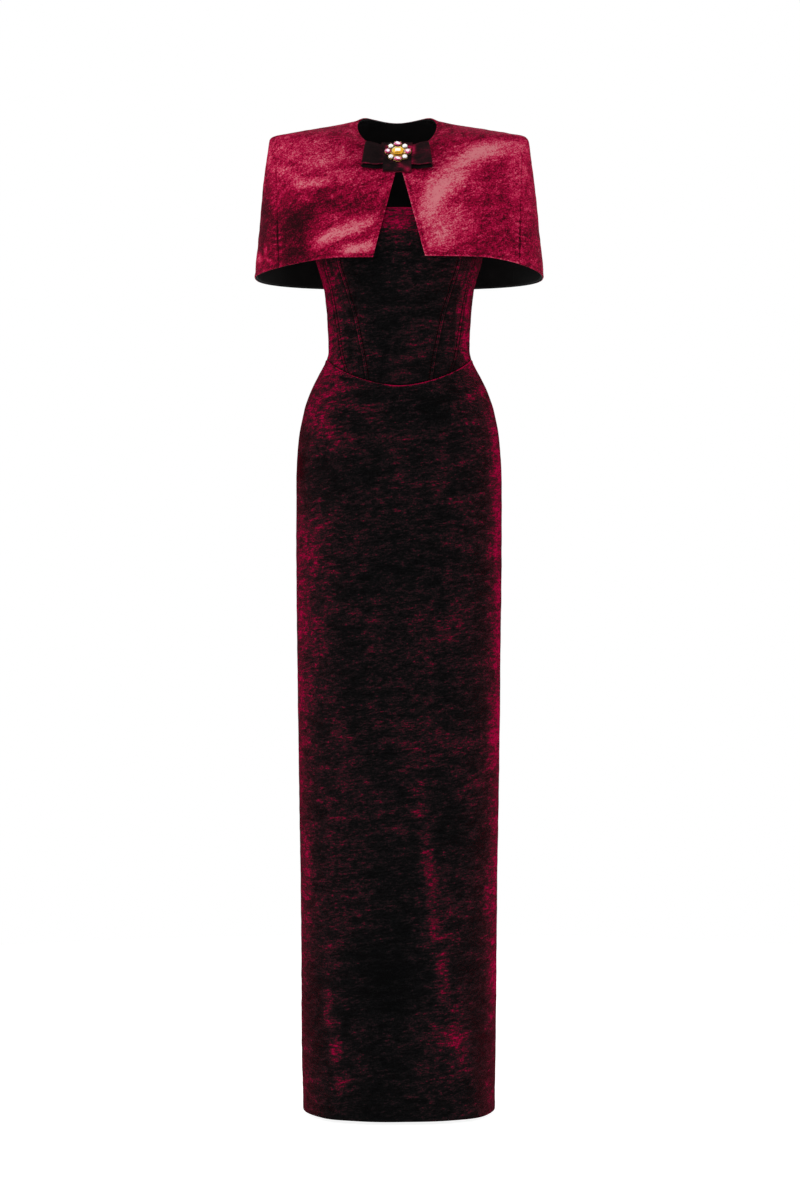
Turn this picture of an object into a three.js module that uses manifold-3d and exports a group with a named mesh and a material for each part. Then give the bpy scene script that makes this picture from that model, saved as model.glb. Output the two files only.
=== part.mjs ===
// A velvet column gown with its short cape, standing as it is worn, with no wearer in it.
// Millimetres. +Z is up, the front faces -Y, and +X is the wearer's left.
// The origin is the middle of the waist, where the boned bodice grips its wearer.

import * as THREE from 'three';
import { mergeVertices } from 'three/addons/utils/BufferGeometryUtils.js';
import Module from 'manifold-3d';

const wasm = await Module();
wasm.setup();

const DEG = Math.PI / 180;
const BACK = Math.PI; // the angle of the centre back; the centre front is at 0, and +X at a quarter turn
const QUARTER = Math.PI / 2;

// Cloth
const seamGap = 0.3; // between two pieces that are sewn together
const capeSeamGap = 0.5; // the cape's seams run aslant to it, which narrows the gap
const bodiceThick = 2.5; // velvet on a boned backing
const skirtThick = 2;
const capeThick = 2;
const liningThick = 1;
const liningGap = 0.3; // between the cape's velvet and its lining

// The gown's outer face at each height above the waist: half its width, how far its front and its
// back stand from the side seams, and how square the oval is, where 2 is an ellipse.
const gownSections = [
  { z: -1170, half: 147.6, front: 123, back: 120, square: 2.25 },
  { z: -1035, half: 149.9, front: 119, back: 120.5, square: 2.25 },
  { z: -850, half: 151.4, front: 118, back: 121.5, square: 2.2 },
  { z: -664, half: 154.5, front: 117, back: 123.5, square: 2.2 },
  { z: -479, half: 156.8, front: 115.5, back: 126, square: 2.15 },
  { z: -294, half: 158.4, front: 114, back: 129.5, square: 2.15 },
  { z: -201, half: 158.4, front: 112, back: 130.5, square: 2.15 },
  { z: -145, half: 155.5, front: 108, back: 122, square: 2.15 },
  { z: -96, half: 147, front: 101.5, back: 106.5, square: 2.15 },
  { z: -71, half: 139, front: 96.5, back: 97.5, square: 2.15 },
  { z: -46, half: 127.5, front: 91, back: 88, square: 2.15 },
  { z: -24, half: 115.5, front: 87, back: 81, square: 2.15 },
  { z: -14, half: 110.3, front: 85.5, back: 78.5, square: 2.2 },
  { z: 0, half: 108.9, front: 84, back: 77.5, square: 2.2 },
  { z: 52, half: 111.2, front: 92, back: 82, square: 2.25 },
  { z: 93, half: 116, front: 107, back: 88.5, square: 2.35 },
  { z: 125, half: 124.5, front: 118.5, back: 93, square: 2.4 },
  { z: 152, half: 131, front: 123, back: 96, square: 2.45 },
  { z: 180, half: 134, front: 115.5, back: 98, square: 2.45 },
  { z: 210, half: 133, front: 101, back: 98.5, square: 2.4 },
];

// Each cup of the bodice is a soft rise beside the centre front.
const cup = { x: 80, z: 152, lift: 9, wide: 30, high: 34 };

// Soft folds of the skirt: where each starts and ends, its lift, and its half width in degrees.
const skirtFolds = [
  { fromZ: -640, toZ: -1170, fromAngle: 4, toAngle: 54, lift: 4.5, wide: 11 },
  { fromZ: -860, toZ: -1170, fromAngle: -44, toAngle: -47, lift: 4, wide: 10 },
  { fromZ: -700, toZ: -1170, fromAngle: 20, toAngle: 8, lift: -3, wide: 16 },
  { fromZ: -560, toZ: -1170, fromAngle: 148, toAngle: 132, lift: 4, wide: 12 },
  { fromZ: -620, toZ: -1170, fromAngle: -146, toAngle: -128, lift: 4, wide: 12 },
];
const foldFade = 160; // how far down a fold takes to reach its full lift

// Edges and seams of the gown
const hemZ = -1170;
const neckline = { front: 206, back: 190, turnFrom: 60 * DEG, turnTo: 150 * DEG };
const waistSeam = { side: -15.5, drop: 46.5, curve: 1.75, measuredAt: -40 };
const skirtSeamLift = 0.8; // the skirt's top edge stands this far proud of the bodice
const slit = { topZ: -720, halfGap: 5 }; // walking slit in the centre-back seam

const princessSeam = [
  { z: -62, x: 45 },
  { z: -40, x: 47.5 },
  { z: 17, x: 58 },
  { z: 47, x: 64.5 },
  { z: 87, x: 77 },
  { z: 136, x: 90 },
  { z: 206, x: 86 },
];
const sideFrontSeam = [
  { z: -40, x: 77 },
  { z: -18, x: 84 },
  { z: 17, x: 90 },
  { z: 52, x: 95.5 },
  { z: 92, x: 103.5 },
  { z: 130, x: 113 },
  { z: 206, x: 117 },
];
const sideBackSeam = [
  { z: -40, x: 58 },
  { z: 17, x: 60 },
  { z: 92, x: 74 },
  { z: 206, x: 90 },
];

// The cape: three rings that it passes through, at the neck, the shoulder and the hem.
const neckRing = { half: 61, front: 60, back: 60, square: 2 };
const shoulderRing = { half: 200.5, front: 94, back: 106, square: 2 };
const capeHemRing = { half: 222.5, front: 136, back: 149, square: 2.65 };
const neckHeight = { front: 307.2, high: 365.2, back: 361, riseFrom: 24 * DEG, riseTo: 132 * DEG };
const neckShift = -3; // the neck opening sits this far to one side
const shoulderHeight = { front: 252, side: 328.5, back: 274 };
const capeHemHeight = { side: 110, back: 109 };
const hemLift = {
  left: { by: 19, from: 86 * DEG, spread: 43 * DEG },
  right: { by: 17, from: 80 * DEG, spread: 47 * DEG },
};
const shoulderRound = { side: 10, front: 66, power: 6 }; // how far the turn at the shoulder reaches
const shoulderCrown = 4.8; // how far the shoulders arch up between the neck and the turn
const sideBow = 1.8; // how far the cape's sides bow out between the shoulder and the hem
const shoulderFall = 0.4; // the shoulder's place down the cape, from 0 at the neck to 1 at the hem

// Down the cape, rows crowd at the turn of the shoulder.
const capeRows = [0, 0.05, 0.13, 0.24, 0.33, 0.38, 0.42, 0.48, 0.58, 0.72, 0.86, 1];

// The fronts meet at the neck and part below it, by this much at the hem.
const frontParting = { hemX: 39.6, hemZ: 127, meetZ: 282 };
const capeSideSeam = { topX: 190, hemX: 182, settle: 0.07 };
const liningInset = { hem: 0.12, front: 0.1 }; // shares of the edge cells

// How near the cape's velvet may come to the bodice, along a radius, so that the lining clears it.
const capeOverBodice = 6.0;

// The flat bow at the neck, on the cape's front
const bow = {
  x: -3,
  innerX: 18,
  topX: 49.4,
  bottomX: 54.9,
  topZ: 305.5,
  backBottomZ: 265,
  frontBottomZ: 269.5,
  ribbon: 1.2,
  lift: 0.9,
  hollow: 2.2,
  pinch: 1.9,
  spring: 4,
};
const knotCover = [0.16, 0.5]; // shares of a loop's length: under the knot up to the first
const knot = {
  half: 22,
  topZ: 306,
  bottomZ: 261,
  band: 1.3,
  lift: 0.5,
  depth: 7.6,
  corner: 2.2,
  innerCorner: 0.8,
};

// The brooch lies flat on the knot
const brooch = { x: -1.8, z: 288.3, plate: 1.4, ring: 14.9, flatten: 0.95, standOff: 0.6 };
const broochLobes = { count: 8, radius: 19.3, scallop: 1.5, steps: 48 };
const stoneClearance = 0.3;
const collet = { wall: 0.8, height: 2.3 };

// The concealed zip's slider at the top of the centre back
const slider = {
  z: 180,
  width: 5.6,
  length: 9,
  thick: 2,
  bridgeInner: 1.5,
  bridgeOuter: 2.4,
  bridgeWide: 1.4,
};
const pullTab = {
  width: 4.6,
  endWidth: 5.6,
  length: 15,
  thick: 1,
  bar: 1.4,
  windowHalf: 1.5,
  windowEnd: 4.4,
};
const pullAxisLift = 1.2; // the tab's pivot stands this far off the slider

// Panel meshes: cells across and down
const bodiceRows = 12;
const skirtRows = 19;
const across = { centreFront: 6, sideFront: 3, side: 7, back: 5, skirtFront: 22, skirtBack: 11 };
const capeAcross = { front: 7, side: 5, back: 14 };

const velvet = { color: 0x4a0716, roughness: 0.85, metalness: 0 };
const capeVelvet = { color: 0x8f0f2e, roughness: 0.75, metalness: 0 };
const blackSatin = { color: 0x0b090a, roughness: 0.5, metalness: 0 };
const bowVelvet = { color: 0x1c070b, roughness: 0.8, metalness: 0 };
const goldMetal = { color: 0xc79a3a, roughness: 0.3, metalness: 1 };
const pinkStone = { color: 0xd9417f, roughness: 0.08, metalness: 0 };
const clearStone = { color: 0xf3f3f5, roughness: 0.05, metalness: 0 };
const yellowStone = { color: 0xe8b51c, roughness: 0.08, metalness: 0 };
const zipMetal = { color: 0x2a1014, roughness: 0.4, metalness: 0.6 };

const garment = new THREE.Group();

function addPiece(name, geometry, look, parent = garment) {
  const mesh = new THREE.Mesh(geometry, new THREE.MeshStandardMaterial(look));
  mesh.name = name;
  parent.add(mesh);
  return mesh;
}

const mix = THREE.MathUtils.lerp;

function easedStep(value, from, to) {
  return THREE.MathUtils.smoothstep(value, from, to);
}

// The slope of a table's column at one row, kept flat at a peak so that no curve overshoots its rows.
function slopeAt(rows, key, i) {
  const rise = (j) => (rows[j + 1][key] - rows[j][key]) / (rows[j + 1].z - rows[j].z);
  const last = rows.length - 1;
  if (i === 0) return rise(0);
  if (i === last) return rise(last - 1);
  const before = rise(i - 1);
  const after = rise(i);
  return before * after <= 0 ? 0 : (2 * before * after) / (before + after);
}

function readColumn(rows, key, z) {
  const held = THREE.MathUtils.clamp(z, rows[0].z, rows[rows.length - 1].z);
  let i = 0;
  while (i < rows.length - 2 && held > rows[i + 1].z) i += 1;
  const span = rows[i + 1].z - rows[i].z;
  const s = (held - rows[i].z) / span;
  const start = slopeAt(rows, key, i) * span;
  const end = slopeAt(rows, key, i + 1) * span;
  const turn = s * s * (3 - 2 * s);
  return (
    rows[i][key] * (1 - turn) +
    rows[i + 1][key] * turn +
    start * s * (1 - s) ** 2 -
    end * s * s * (1 - s)
  );
}

function ovalRadius(angle, half, front, back, square) {
  const depth = Math.cos(angle) > 0 ? front : back;
  const sideways = Math.abs(Math.sin(angle)) / half;
  const forwards = Math.abs(Math.cos(angle)) / depth;
  return (sideways ** square + forwards ** square) ** (-1 / square);
}

// How far an angle is from the centre front, from 0 to half a turn.
function fromFront(angle) {
  return Math.acos(Math.cos(angle));
}

function ringRadius(angle, ring) {
  return ovalRadius(angle, ring.half, ring.front, ring.back, ring.square);
}

function plainRadius(angle, z) {
  const read = (key) => readColumn(gownSections, key, z);
  return ovalRadius(angle, read('half'), read('front'), read('back'), read('square'));
}

function cupLift(angle, z, radius) {
  if (Math.cos(angle) <= 0) return 0;
  const fromCup = (Math.abs(radius * Math.sin(angle)) - cup.x) / cup.wide;
  const fromHeight = (z - cup.z) / cup.high;
  return cup.lift * Math.exp(-fromCup * fromCup - fromHeight * fromHeight);
}

function foldLift(angle, z) {
  let lift = 0;
  for (const fold of skirtFolds) {
    const down = (fold.fromZ - z) / (fold.fromZ - fold.toZ);
    const line = mix(fold.fromAngle, fold.toAngle, THREE.MathUtils.clamp(down, 0, 1)) * DEG;
    const away = Math.atan2(Math.sin(angle - line), Math.cos(angle - line)) / (fold.wide * DEG);
    const grown = easedStep(fold.fromZ - z, 0, foldFade);
    lift += fold.lift * grown * Math.exp(-away * away);
  }
  return lift;
}

function gownRadius(angle, z) {
  const radius = plainRadius(angle, z);
  return radius + cupLift(angle, z, radius) + foldLift(angle, z);
}

function aroundAxis(angle, radius, z) {
  return new THREE.Vector3(radius * Math.sin(angle), -radius * Math.cos(angle), z);
}

function gownSurface(angle, z) {
  return aroundAxis(angle, gownRadius(angle, z), z);
}

// The skirt's face, which stands a little proud of the bodice along their seam.
function skirtSurface(angle, z) {
  const proud = skirtSeamLift * (1 - easedStep(waistSeamZ(angle) - z, 0, 20));
  return aroundAxis(angle, gownRadius(angle, z) + proud, z);
}

// A point of a face moved out along the face's normal, or inwards for a negative distance.
function movedOut(face, angle, place, distance, downwards) {
  const step = 1e-3;
  const along = face(angle + step, place).sub(face(angle - step, place));
  const up = face(angle, place + step).sub(face(angle, place - step));
  if (downwards) up.negate();
  return face(angle, place).addScaledVector(along.cross(up).normalize(), distance);
}

// The closed solid of these triangles, turned so that its faces point outwards.
function closedSolid(points, triangles) {
  let volume = 0;
  for (const [a, b, c] of triangles) volume += points[a].dot(points[b].clone().cross(points[c]));
  const index = triangles.flatMap(([a, b, c]) => (volume < 0 ? [a, c, b] : [a, b, c]));
  const geometry = new THREE.BufferGeometry().setFromPoints(points);
  geometry.setIndex(index);
  geometry.computeVertexNormals();
  return geometry;
}

// A wall of cloth between two grids of points, which both hold the same rows and columns. Each cell
// is halved along the shorter diagonal of the guide's cell, so that mirrored panels come out alike.
function clothWall(outer, inner, guide = outer) {
  const rows = outer.length;
  const columns = outer[0].length;
  const points = [...outer.flat(), ...inner.flat()];
  const out = (j, i) => j * columns + i;
  const into = (j, i) => rows * columns + out(j, i);
  const triangles = [];
  const quad = (a, b, c, d) => triangles.push([a, b, c], [a, c, d]);
  for (let j = 0; j < rows - 1; j += 1) {
    for (let i = 0; i < columns - 1; i += 1) {
      const falling = guide[j][i].distanceTo(guide[j + 1][i + 1]);
      const rising = guide[j + 1][i].distanceTo(guide[j][i + 1]);
      const corners = [[j, i], [j + 1, i], [j + 1, i + 1], [j, i + 1]];
      if (rising < falling) corners.push(corners.shift());
      quad(...corners.map(([row, column]) => out(row, column)));
      quad(...[0, 3, 2, 1].map((k) => into(...corners[k])));
    }
    quad(out(j, 0), into(j, 0), into(j + 1, 0), out(j + 1, 0));
    quad(out(j, columns - 1), out(j + 1, columns - 1), into(j + 1, columns - 1), into(j, columns - 1));
  }
  for (let i = 0; i < columns - 1; i += 1) {
    quad(out(0, i), out(0, i + 1), into(0, i + 1), into(0, i));
    quad(out(rows - 1, i), into(rows - 1, i), into(rows - 1, i + 1), out(rows - 1, i + 1));
  }
  return closedSolid(points, triangles);
}

// Edges of the gown's panels

function necklineZ(angle) {
  const round = easedStep(fromFront(angle), neckline.turnFrom, neckline.turnTo);
  return mix(neckline.front, neckline.back, round);
}

// The waist seam dips in a curve to the centre front and runs level round the back.
function waistSeamZ(angle) {
  if (Math.cos(angle) <= 0) return waistSeam.side;
  const z = waistSeam.measuredAt;
  const share = (plainRadius(angle, z) * Math.abs(Math.sin(angle))) / readColumn(gownSections, 'half', z);
  return waistSeam.side - waistSeam.drop * (1 - share ** waistSeam.curve);
}

// The angle at which the gown's face is x from the middle, on its front or on its back.
function angleAtX(x, z, onBack) {
  let low = 0;
  let high = QUARTER;
  for (let k = 0; k < 40; k += 1) {
    const tried = (low + high) / 2;
    const reached = gownRadius(onBack ? BACK - tried : tried, z) * Math.sin(tried);
    if (reached < x) low = tried;
    else high = tried;
  }
  return onBack ? BACK - (low + high) / 2 : (low + high) / 2;
}

// A seam as a function of the row's height rule, because the height of a row depends on the angle.
function seamFromTable(rows, onBack) {
  return (heightAt) => {
    let angle = onBack ? BACK * 0.75 : QUARTER / 2;
    for (let k = 0; k < 5; k += 1) {
      const z = heightAt(angle);
      angle = angleAtX(readColumn(rows, 'x', z), z, onBack);
    }
    return angle;
  };
}

const atSide = () => QUARTER;

// The centre back, which opens below the top of the slit.
function atCentreBack(heightAt) {
  const z = heightAt(BACK);
  const open = easedStep(slit.topZ - z, 0, slit.topZ - hemZ) * (slit.halfGap - seamGap / 2);
  return BACK - open / gownRadius(BACK, z);
}

const atPrincess = seamFromTable(princessSeam, false);
const atSideFront = seamFromTable(sideFrontSeam, false);
const atSideBack = seamFromTable(sideBackSeam, true);

// A panel of the gown between two seams and between two edges, as rows of points at one depth.
function gownGrid(panel, depth) {
  const grid = [];
  for (let j = 0; j <= panel.rows; j += 1) {
    const down = panel.spacing(j / panel.rows);
    const heightAt = (angle) => mix(panel.top(angle), panel.bottom(angle), down);
    const from = panel.from(heightAt);
    const to = panel.to(heightAt);
    const halfGap = seamGap / 2 / gownRadius(to, heightAt(to));
    const row = [];
    for (let i = 0; i <= panel.columns; i += 1) {
      const angle = mix(from + halfGap, to - halfGap, i / panel.columns);
      row.push(movedOut(panel.face, panel.side * angle, heightAt(angle), -depth, false));
    }
    grid.push(row);
  }
  return grid;
}

function gownPanel(name, panel) {
  addPiece(name, clothWall(gownGrid(panel, 0), gownGrid(panel, panel.thick)), velvet);
}

const evenly = (share) => share;
// The skirt's rows crowd at the hips, where it curves most.
const crowdedAtTop = (share) => share ** 1.75;

function addBodice() {
  const shared = {
    rows: bodiceRows,
    top: necklineZ,
    bottom: (angle) => waistSeamZ(angle) + seamGap / 2,
    spacing: evenly,
    face: gownSurface,
    thick: bodiceThick,
  };
  const mirrored = (seam) => (heightAt) => -seam(heightAt);
  gownPanel('bodice_centre_front', {
    ...shared,
    columns: across.centreFront,
    from: mirrored(atPrincess),
    to: atPrincess,
    side: 1,
  });
  for (const [word, side] of [['left', 1], ['right', -1]]) {
    const halves = [
      ['bodice_side_front_', atPrincess, atSideFront, across.sideFront],
      ['bodice_side_', atSideFront, atSideBack, across.side],
      ['bodice_back_', atSideBack, atCentreBack, across.back],
    ];
    for (const [start, from, to, columns] of halves) {
      gownPanel(start + word, { ...shared, columns, from, to, side });
    }
  }
}

function addSkirt() {
  const shared = {
    rows: skirtRows,
    top: (angle) => waistSeamZ(angle) - seamGap / 2,
    bottom: () => hemZ,
    spacing: crowdedAtTop,
    face: skirtSurface,
    thick: skirtThick,
  };
  gownPanel('skirt_front', {
    ...shared,
    columns: across.skirtFront,
    from: () => -QUARTER,
    to: atSide,
    side: 1,
  });
  for (const [word, side] of [['left', 1], ['right', -1]]) {
    gownPanel('skirt_back_' + word, {
      ...shared,
      columns: across.skirtBack,
      from: atSide,
      to: atCentreBack,
      side,
    });
  }
}

// The cape's face

function neckZ(angle) {
  const round = easedStep(fromFront(angle), neckHeight.riseFrom, neckHeight.riseTo);
  const settled = easedStep(fromFront(angle), neckHeight.riseTo, BACK);
  return mix(neckHeight.front, mix(neckHeight.high, neckHeight.back, settled), round);
}

function shoulderZ(angle) {
  const low = Math.cos(angle) > 0 ? shoulderHeight.front : shoulderHeight.back;
  return mix(low, shoulderHeight.side, Math.sin(angle) ** 2);
}

function capeHemZ(angle) {
  if (Math.cos(angle) <= 0) {
    return mix(capeHemHeight.back, capeHemHeight.side, Math.abs(Math.sin(angle)));
  }
  const lift = angle > 0 ? hemLift.left : hemLift.right;
  return capeHemHeight.side + lift.by * easedStep(lift.from - Math.abs(angle), 0, lift.spread);
}

// The fall of the cape at one angle is two straight legs, joined by a round turn at the shoulder.
function capeFall(angle, down) {
  const neck = new THREE.Vector2(ringRadius(angle, neckRing), neckZ(angle));
  const shoulder = new THREE.Vector2(ringRadius(angle, shoulderRing), shoulderZ(angle));
  const hem = new THREE.Vector2(ringRadius(angle, capeHemRing), capeHemZ(angle));
  const upper = shoulder.distanceTo(neck);
  const lower = hem.distanceTo(shoulder);
  const aside = Math.abs(Math.sin(angle)) ** shoulderRound.power;
  const reach = mix(shoulderRound.front, shoulderRound.side, aside);
  const turn = Math.min(reach, 0.95 * upper, 0.95 * lower);
  const run =
    down < shoulderFall
      ? (down / shoulderFall - 1) * upper
      : ((down - shoulderFall) / (1 - shoulderFall)) * lower;
  const sideways = Math.sin(angle) ** 4;
  const upperPoint = (length) => {
    const out = Math.max(0, 1 + length / upper);
    const point = shoulder.clone().lerp(neck, 1 - out);
    return point.setY(point.y + shoulderCrown * sideways * Math.sin(Math.PI * out ** 0.7));
  };
  const lowerPoint = (length) => {
    const point = shoulder.clone().lerp(hem, length / lower);
    return point.setX(point.x + sideBow * sideways * Math.sin((Math.PI * length) / lower));
  };
  if (run <= -turn) return upperPoint(run);
  if (run >= turn) return lowerPoint(run);
  const q = (run + turn) / (2 * turn);
  const start = upperPoint(-turn).multiplyScalar((1 - q) ** 2);
  const end = lowerPoint(turn).multiplyScalar(q * q);
  return shoulder.multiplyScalar(2 * q * (1 - q)).add(start).add(end);
}

// The larger of two lengths, with the change between them rounded off.
function softMax(a, b, round) {
  const apart = a - b;
  return (a + b + Math.sqrt(apart * apart + round * round)) / 2;
}

// The cape hangs from the neck and shoulders, and the bust holds its front out.
function capeSurface(angle, down) {
  const fall = capeFall(angle, down);
  const bust = Math.cos(angle) > 0 ? gownRadius(angle, fall.y) + capeOverBodice : 0;
  const near = easedStep(necklineZ(angle) + 25 - fall.y, 0, 40);
  const held = mix(fall.x, softMax(fall.x, bust, 1), near);
  const point = aroundAxis(angle, Math.max(fall.x, held), fall.y);
  point.x += neckShift * (1 - easedStep(down, 0, shoulderFall));
  return point;
}

// Where the cape's face is x from the middle and z high, as an angle and a place down the cape.
function placeOnCape(x, z) {
  let low = -80 * DEG;
  let high = 80 * DEG;
  let down = 0;
  for (let k = 0; k < 36; k += 1) {
    const angle = (low + high) / 2;
    let above = 0;
    let below = 1;
    for (let m = 0; m < 36; m += 1) {
      down = (above + below) / 2;
      if (capeSurface(angle, down).z > z) above = down;
      else below = down;
    }
    if (capeSurface(angle, down).x < x) low = angle;
    else high = angle;
  }
  return [(low + high) / 2, down];
}

function onCape(x, z, lift) {
  const [angle, down] = placeOnCape(x, z);
  return movedOut(capeSurface, angle, down, lift, true);
}

// The centre-front edge leans away from the middle below the point where the fronts meet.
function atFrontEdge(down) {
  const slope = frontParting.hemX / (frontParting.meetZ - frontParting.hemZ);
  let angle = 0;
  for (let k = 0; k < 6; k += 1) {
    const point = capeSurface(angle, down);
    const x = Math.max(0, (frontParting.meetZ - point.z) * slope);
    angle = Math.asin(Math.min(1, x / Math.hypot(point.x, point.y)));
  }
  return angle;
}

// The seam between the front or back and the side panel runs down from the shoulder point.
function atCapeSeam(down, onBack) {
  const below = down - shoulderFall;
  if (below <= 0) return QUARTER;
  const settled = easedStep(below, 0, capeSideSeam.settle);
  const line = mix(capeSideSeam.topX, capeSideSeam.hemX, below / (1 - shoulderFall));
  let low = 0;
  let high = QUARTER;
  for (let k = 0; k < 40; k += 1) {
    const tried = (low + high) / 2;
    const point = capeSurface(onBack ? BACK - tried : tried, down);
    if (point.x < line) low = tried;
    else high = tried;
  }
  const turned = mix(QUARTER, (low + high) / 2, settled);
  return onBack ? BACK - turned : turned;
}

function capeGrid(panel, depth) {
  return panel.rows.map((down) => {
    const from = panel.from(down);
    const to = panel.to(down);
    const halfGap = (angle) => capeSeamGap / 2 / capeSurface(angle, down).setZ(0).length();
    const row = [];
    for (let i = 0; i <= panel.columns; i += 1) {
      const angle = mix(from + halfGap(from), to - halfGap(to), i / panel.columns);
      row.push(movedOut(capeSurface, panel.side * angle, down, -depth, true));
    }
    return row;
  });
}

// The same grid with its last row and its first column drawn in by a share of a cell.
function trimmed(grid, shares) {
  const last = grid.length - 1;
  const drawn = grid.map((row) => row.map((point) => point.clone()));
  drawn[last].forEach((point, i) => point.lerp(grid[last - 1][i], shares.hem));
  for (const row of drawn) row[0].lerp(row[1], shares.front);
  return drawn;
}

function capePiece(name, panel, trim) {
  const face = capeGrid(panel, 0);
  addPiece('cape_' + name, clothWall(face, capeGrid(panel, capeThick)), capeVelvet);
  const liningOut = capeThick + liningGap;
  const outer = trimmed(capeGrid(panel, liningOut), trim);
  const inner = trimmed(capeGrid(panel, liningOut + liningThick), trim);
  addPiece('cape_lining_' + name, clothWall(outer, inner, face), blackSatin);
}

function addCape() {
  const sideRows = capeRows.filter((down) => down > shoulderFall);
  for (const [word, side] of [['left', 1], ['right', -1]]) {
    capePiece(
      'front_' + word,
      {
        rows: capeRows,
        columns: capeAcross.front,
        from: atFrontEdge,
        to: (down) => atCapeSeam(down, false),
        side,
      },
      liningInset,
    );
    capePiece(
      'side_' + word,
      {
        rows: sideRows,
        columns: capeAcross.side,
        from: (down) => atCapeSeam(down, false),
        to: (down) => atCapeSeam(down, true),
        side,
      },
      { ...liningInset, front: 0 },
    );
  }
  capePiece(
    'back',
    {
      rows: capeRows,
      columns: capeAcross.back,
      from: (down) => atCapeSeam(down, true),
      to: (down) => 2 * BACK - atCapeSeam(down, true),
      side: 1,
    },
    { ...liningInset, front: 0 },
  );
}

// The bow

// One loop of ribbon: a front layer, a round fold at its outer end, and a longer back layer.
function bowLoop(side) {
  const path = [];
  const full = bow.ribbon + bow.hollow / 2;
  const straight = [0, knotCover[0], knotCover[1], 0.75, 1];
  for (const share of straight) path.push({ along: share, lift: full, out: 1, front: 1 });
  for (const turn of [45, 90, 135]) {
    path.push({ along: 1, lift: 0, turn: turn * DEG, front: 1 - turn / 180 });
  }
  for (const share of [...straight].reverse()) path.push({ along: share, lift: -full, out: -1, front: 0 });
  const layer = (inset) => {
    const rows = [];
    for (let j = 0; j <= 4; j += 1) {
      rows.push(path.map((step) => bowPoint(side, step, j / 4, full - inset, inset)));
    }
    return rows;
  };
  return clothWall(layer(0), layer(bow.ribbon));
}

function bowPoint(side, step, down, radius, inset) {
  const full = bow.ribbon + bow.hollow / 2;
  const bottomZ = mix(bow.backBottomZ, bow.frontBottomZ, step.front);
  const pinch = bow.pinch * (1 - easedStep(step.along, ...knotCover));
  const z = mix(bow.topZ - pinch, bottomZ + pinch, down);
  const endX = mix(bow.topX, bow.bottomX, down) - full;
  const reach = step.turn === undefined ? 0 : radius * Math.sin(step.turn);
  const middle = bow.lift + full + bow.spring * easedStep(step.along, knotCover[0], 1);
  const offset = step.turn === undefined ? step.out * (full - inset) : radius * Math.cos(step.turn);
  const x = mix(bow.innerX, endX, step.along) + reach;
  return onCape(bow.x + side * x, z, middle + offset);
}

// The knot is a band that wraps over the top and bottom edges of the loops.
function bowKnot() {
  const columns = 6;
  const layer = (inset, corner) => {
    const topZ = knot.topZ - inset;
    const bottomZ = knot.bottomZ + inset;
    const depth = knot.depth - inset;
    const path = [
      { z: bottomZ, lift: knot.lift },
      { z: bottomZ, lift: depth - corner },
      { z: bottomZ + corner, lift: depth },
      ...[0.25, 0.5, 0.75].map((share) => ({ z: mix(bottomZ, topZ, share), lift: depth })),
      { z: topZ - corner, lift: depth },
      { z: topZ, lift: depth - corner },
      { z: topZ, lift: knot.lift },
    ];
    return path.map((step) => {
      const row = [];
      for (let i = 0; i <= columns; i += 1) {
        row.push(onCape(bow.x + mix(-knot.half, knot.half, i / columns), step.z, step.lift));
      }
      return row;
    });
  };
  return clothWall(layer(0, knot.corner), layer(knot.band, knot.innerCorner));
}

function addBow() {
  addPiece('bow_loop_left', bowLoop(1), bowVelvet);
  addPiece('bow_loop_right', bowLoop(-1), bowVelvet);
  addPiece('bow_knot', bowKnot(), bowVelvet);
}

// The brooch

function ovalOutline(width, height, sides) {
  const outline = [];
  for (let i = 0; i < sides; i += 1) {
    const turn = ((i + 0.5) / sides) * 2 * Math.PI;
    outline.push(new THREE.Vector2((width / 2) * Math.cos(turn), (height / 2) * Math.sin(turn)));
  }
  return outline;
}

function cutCornerOutline(width, height, corner) {
  const x = width / 2;
  const y = height / 2;
  return [
    [x, -y + corner], [x, y - corner], [x - corner, y], [-x + corner, y],
    [-x, y - corner], [-x, -y + corner], [-x + corner, -y], [x - corner, -y],
  ].map(([px, py]) => new THREE.Vector2(px, py));
}

// A cut stone: its outline at each level is its girdle's, scaled.
function cutStone(outline, levels) {
  const sides = outline.length;
  const points = levels.flatMap((level) =>
    outline.map((p) => new THREE.Vector3(p.x * level.scale, p.y * level.scale, level.z)),
  );
  const triangles = [];
  for (let j = 0; j < levels.length - 1; j += 1) {
    for (let i = 0; i < sides; i += 1) {
      const next = (i + 1) % sides;
      const low = j * sides;
      const high = low + sides;
      triangles.push([low + i, low + next, high + next], [low + i, high + next, high + i]);
    }
  }
  const top = (levels.length - 1) * sides;
  for (let i = 1; i < sides - 1; i += 1) {
    triangles.push([0, i + 1, i], [top, top + i, top + i + 1]);
  }
  return closedSolid(points, triangles);
}

const stoneLevels = (height) => [
  { z: 0, scale: 0.5 },
  { z: height * 0.42, scale: 1 },
  { z: height * 0.55, scale: 1 },
  { z: height, scale: 0.6 },
];

// Each stone's reach along the ring's radius, its width around the ring and its height
const pinkBeside = { reach: 9.8, width: 9.6, height: 3.8 };
const pinkAbove = { reach: 8.2, width: 12, height: 3.8 };
const clearRound = { reach: 7.6, width: 7.6, height: 3.6 };
const centreSize = { width: 16.4, length: 13.6, corner: 3.5, height: 6 };

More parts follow.
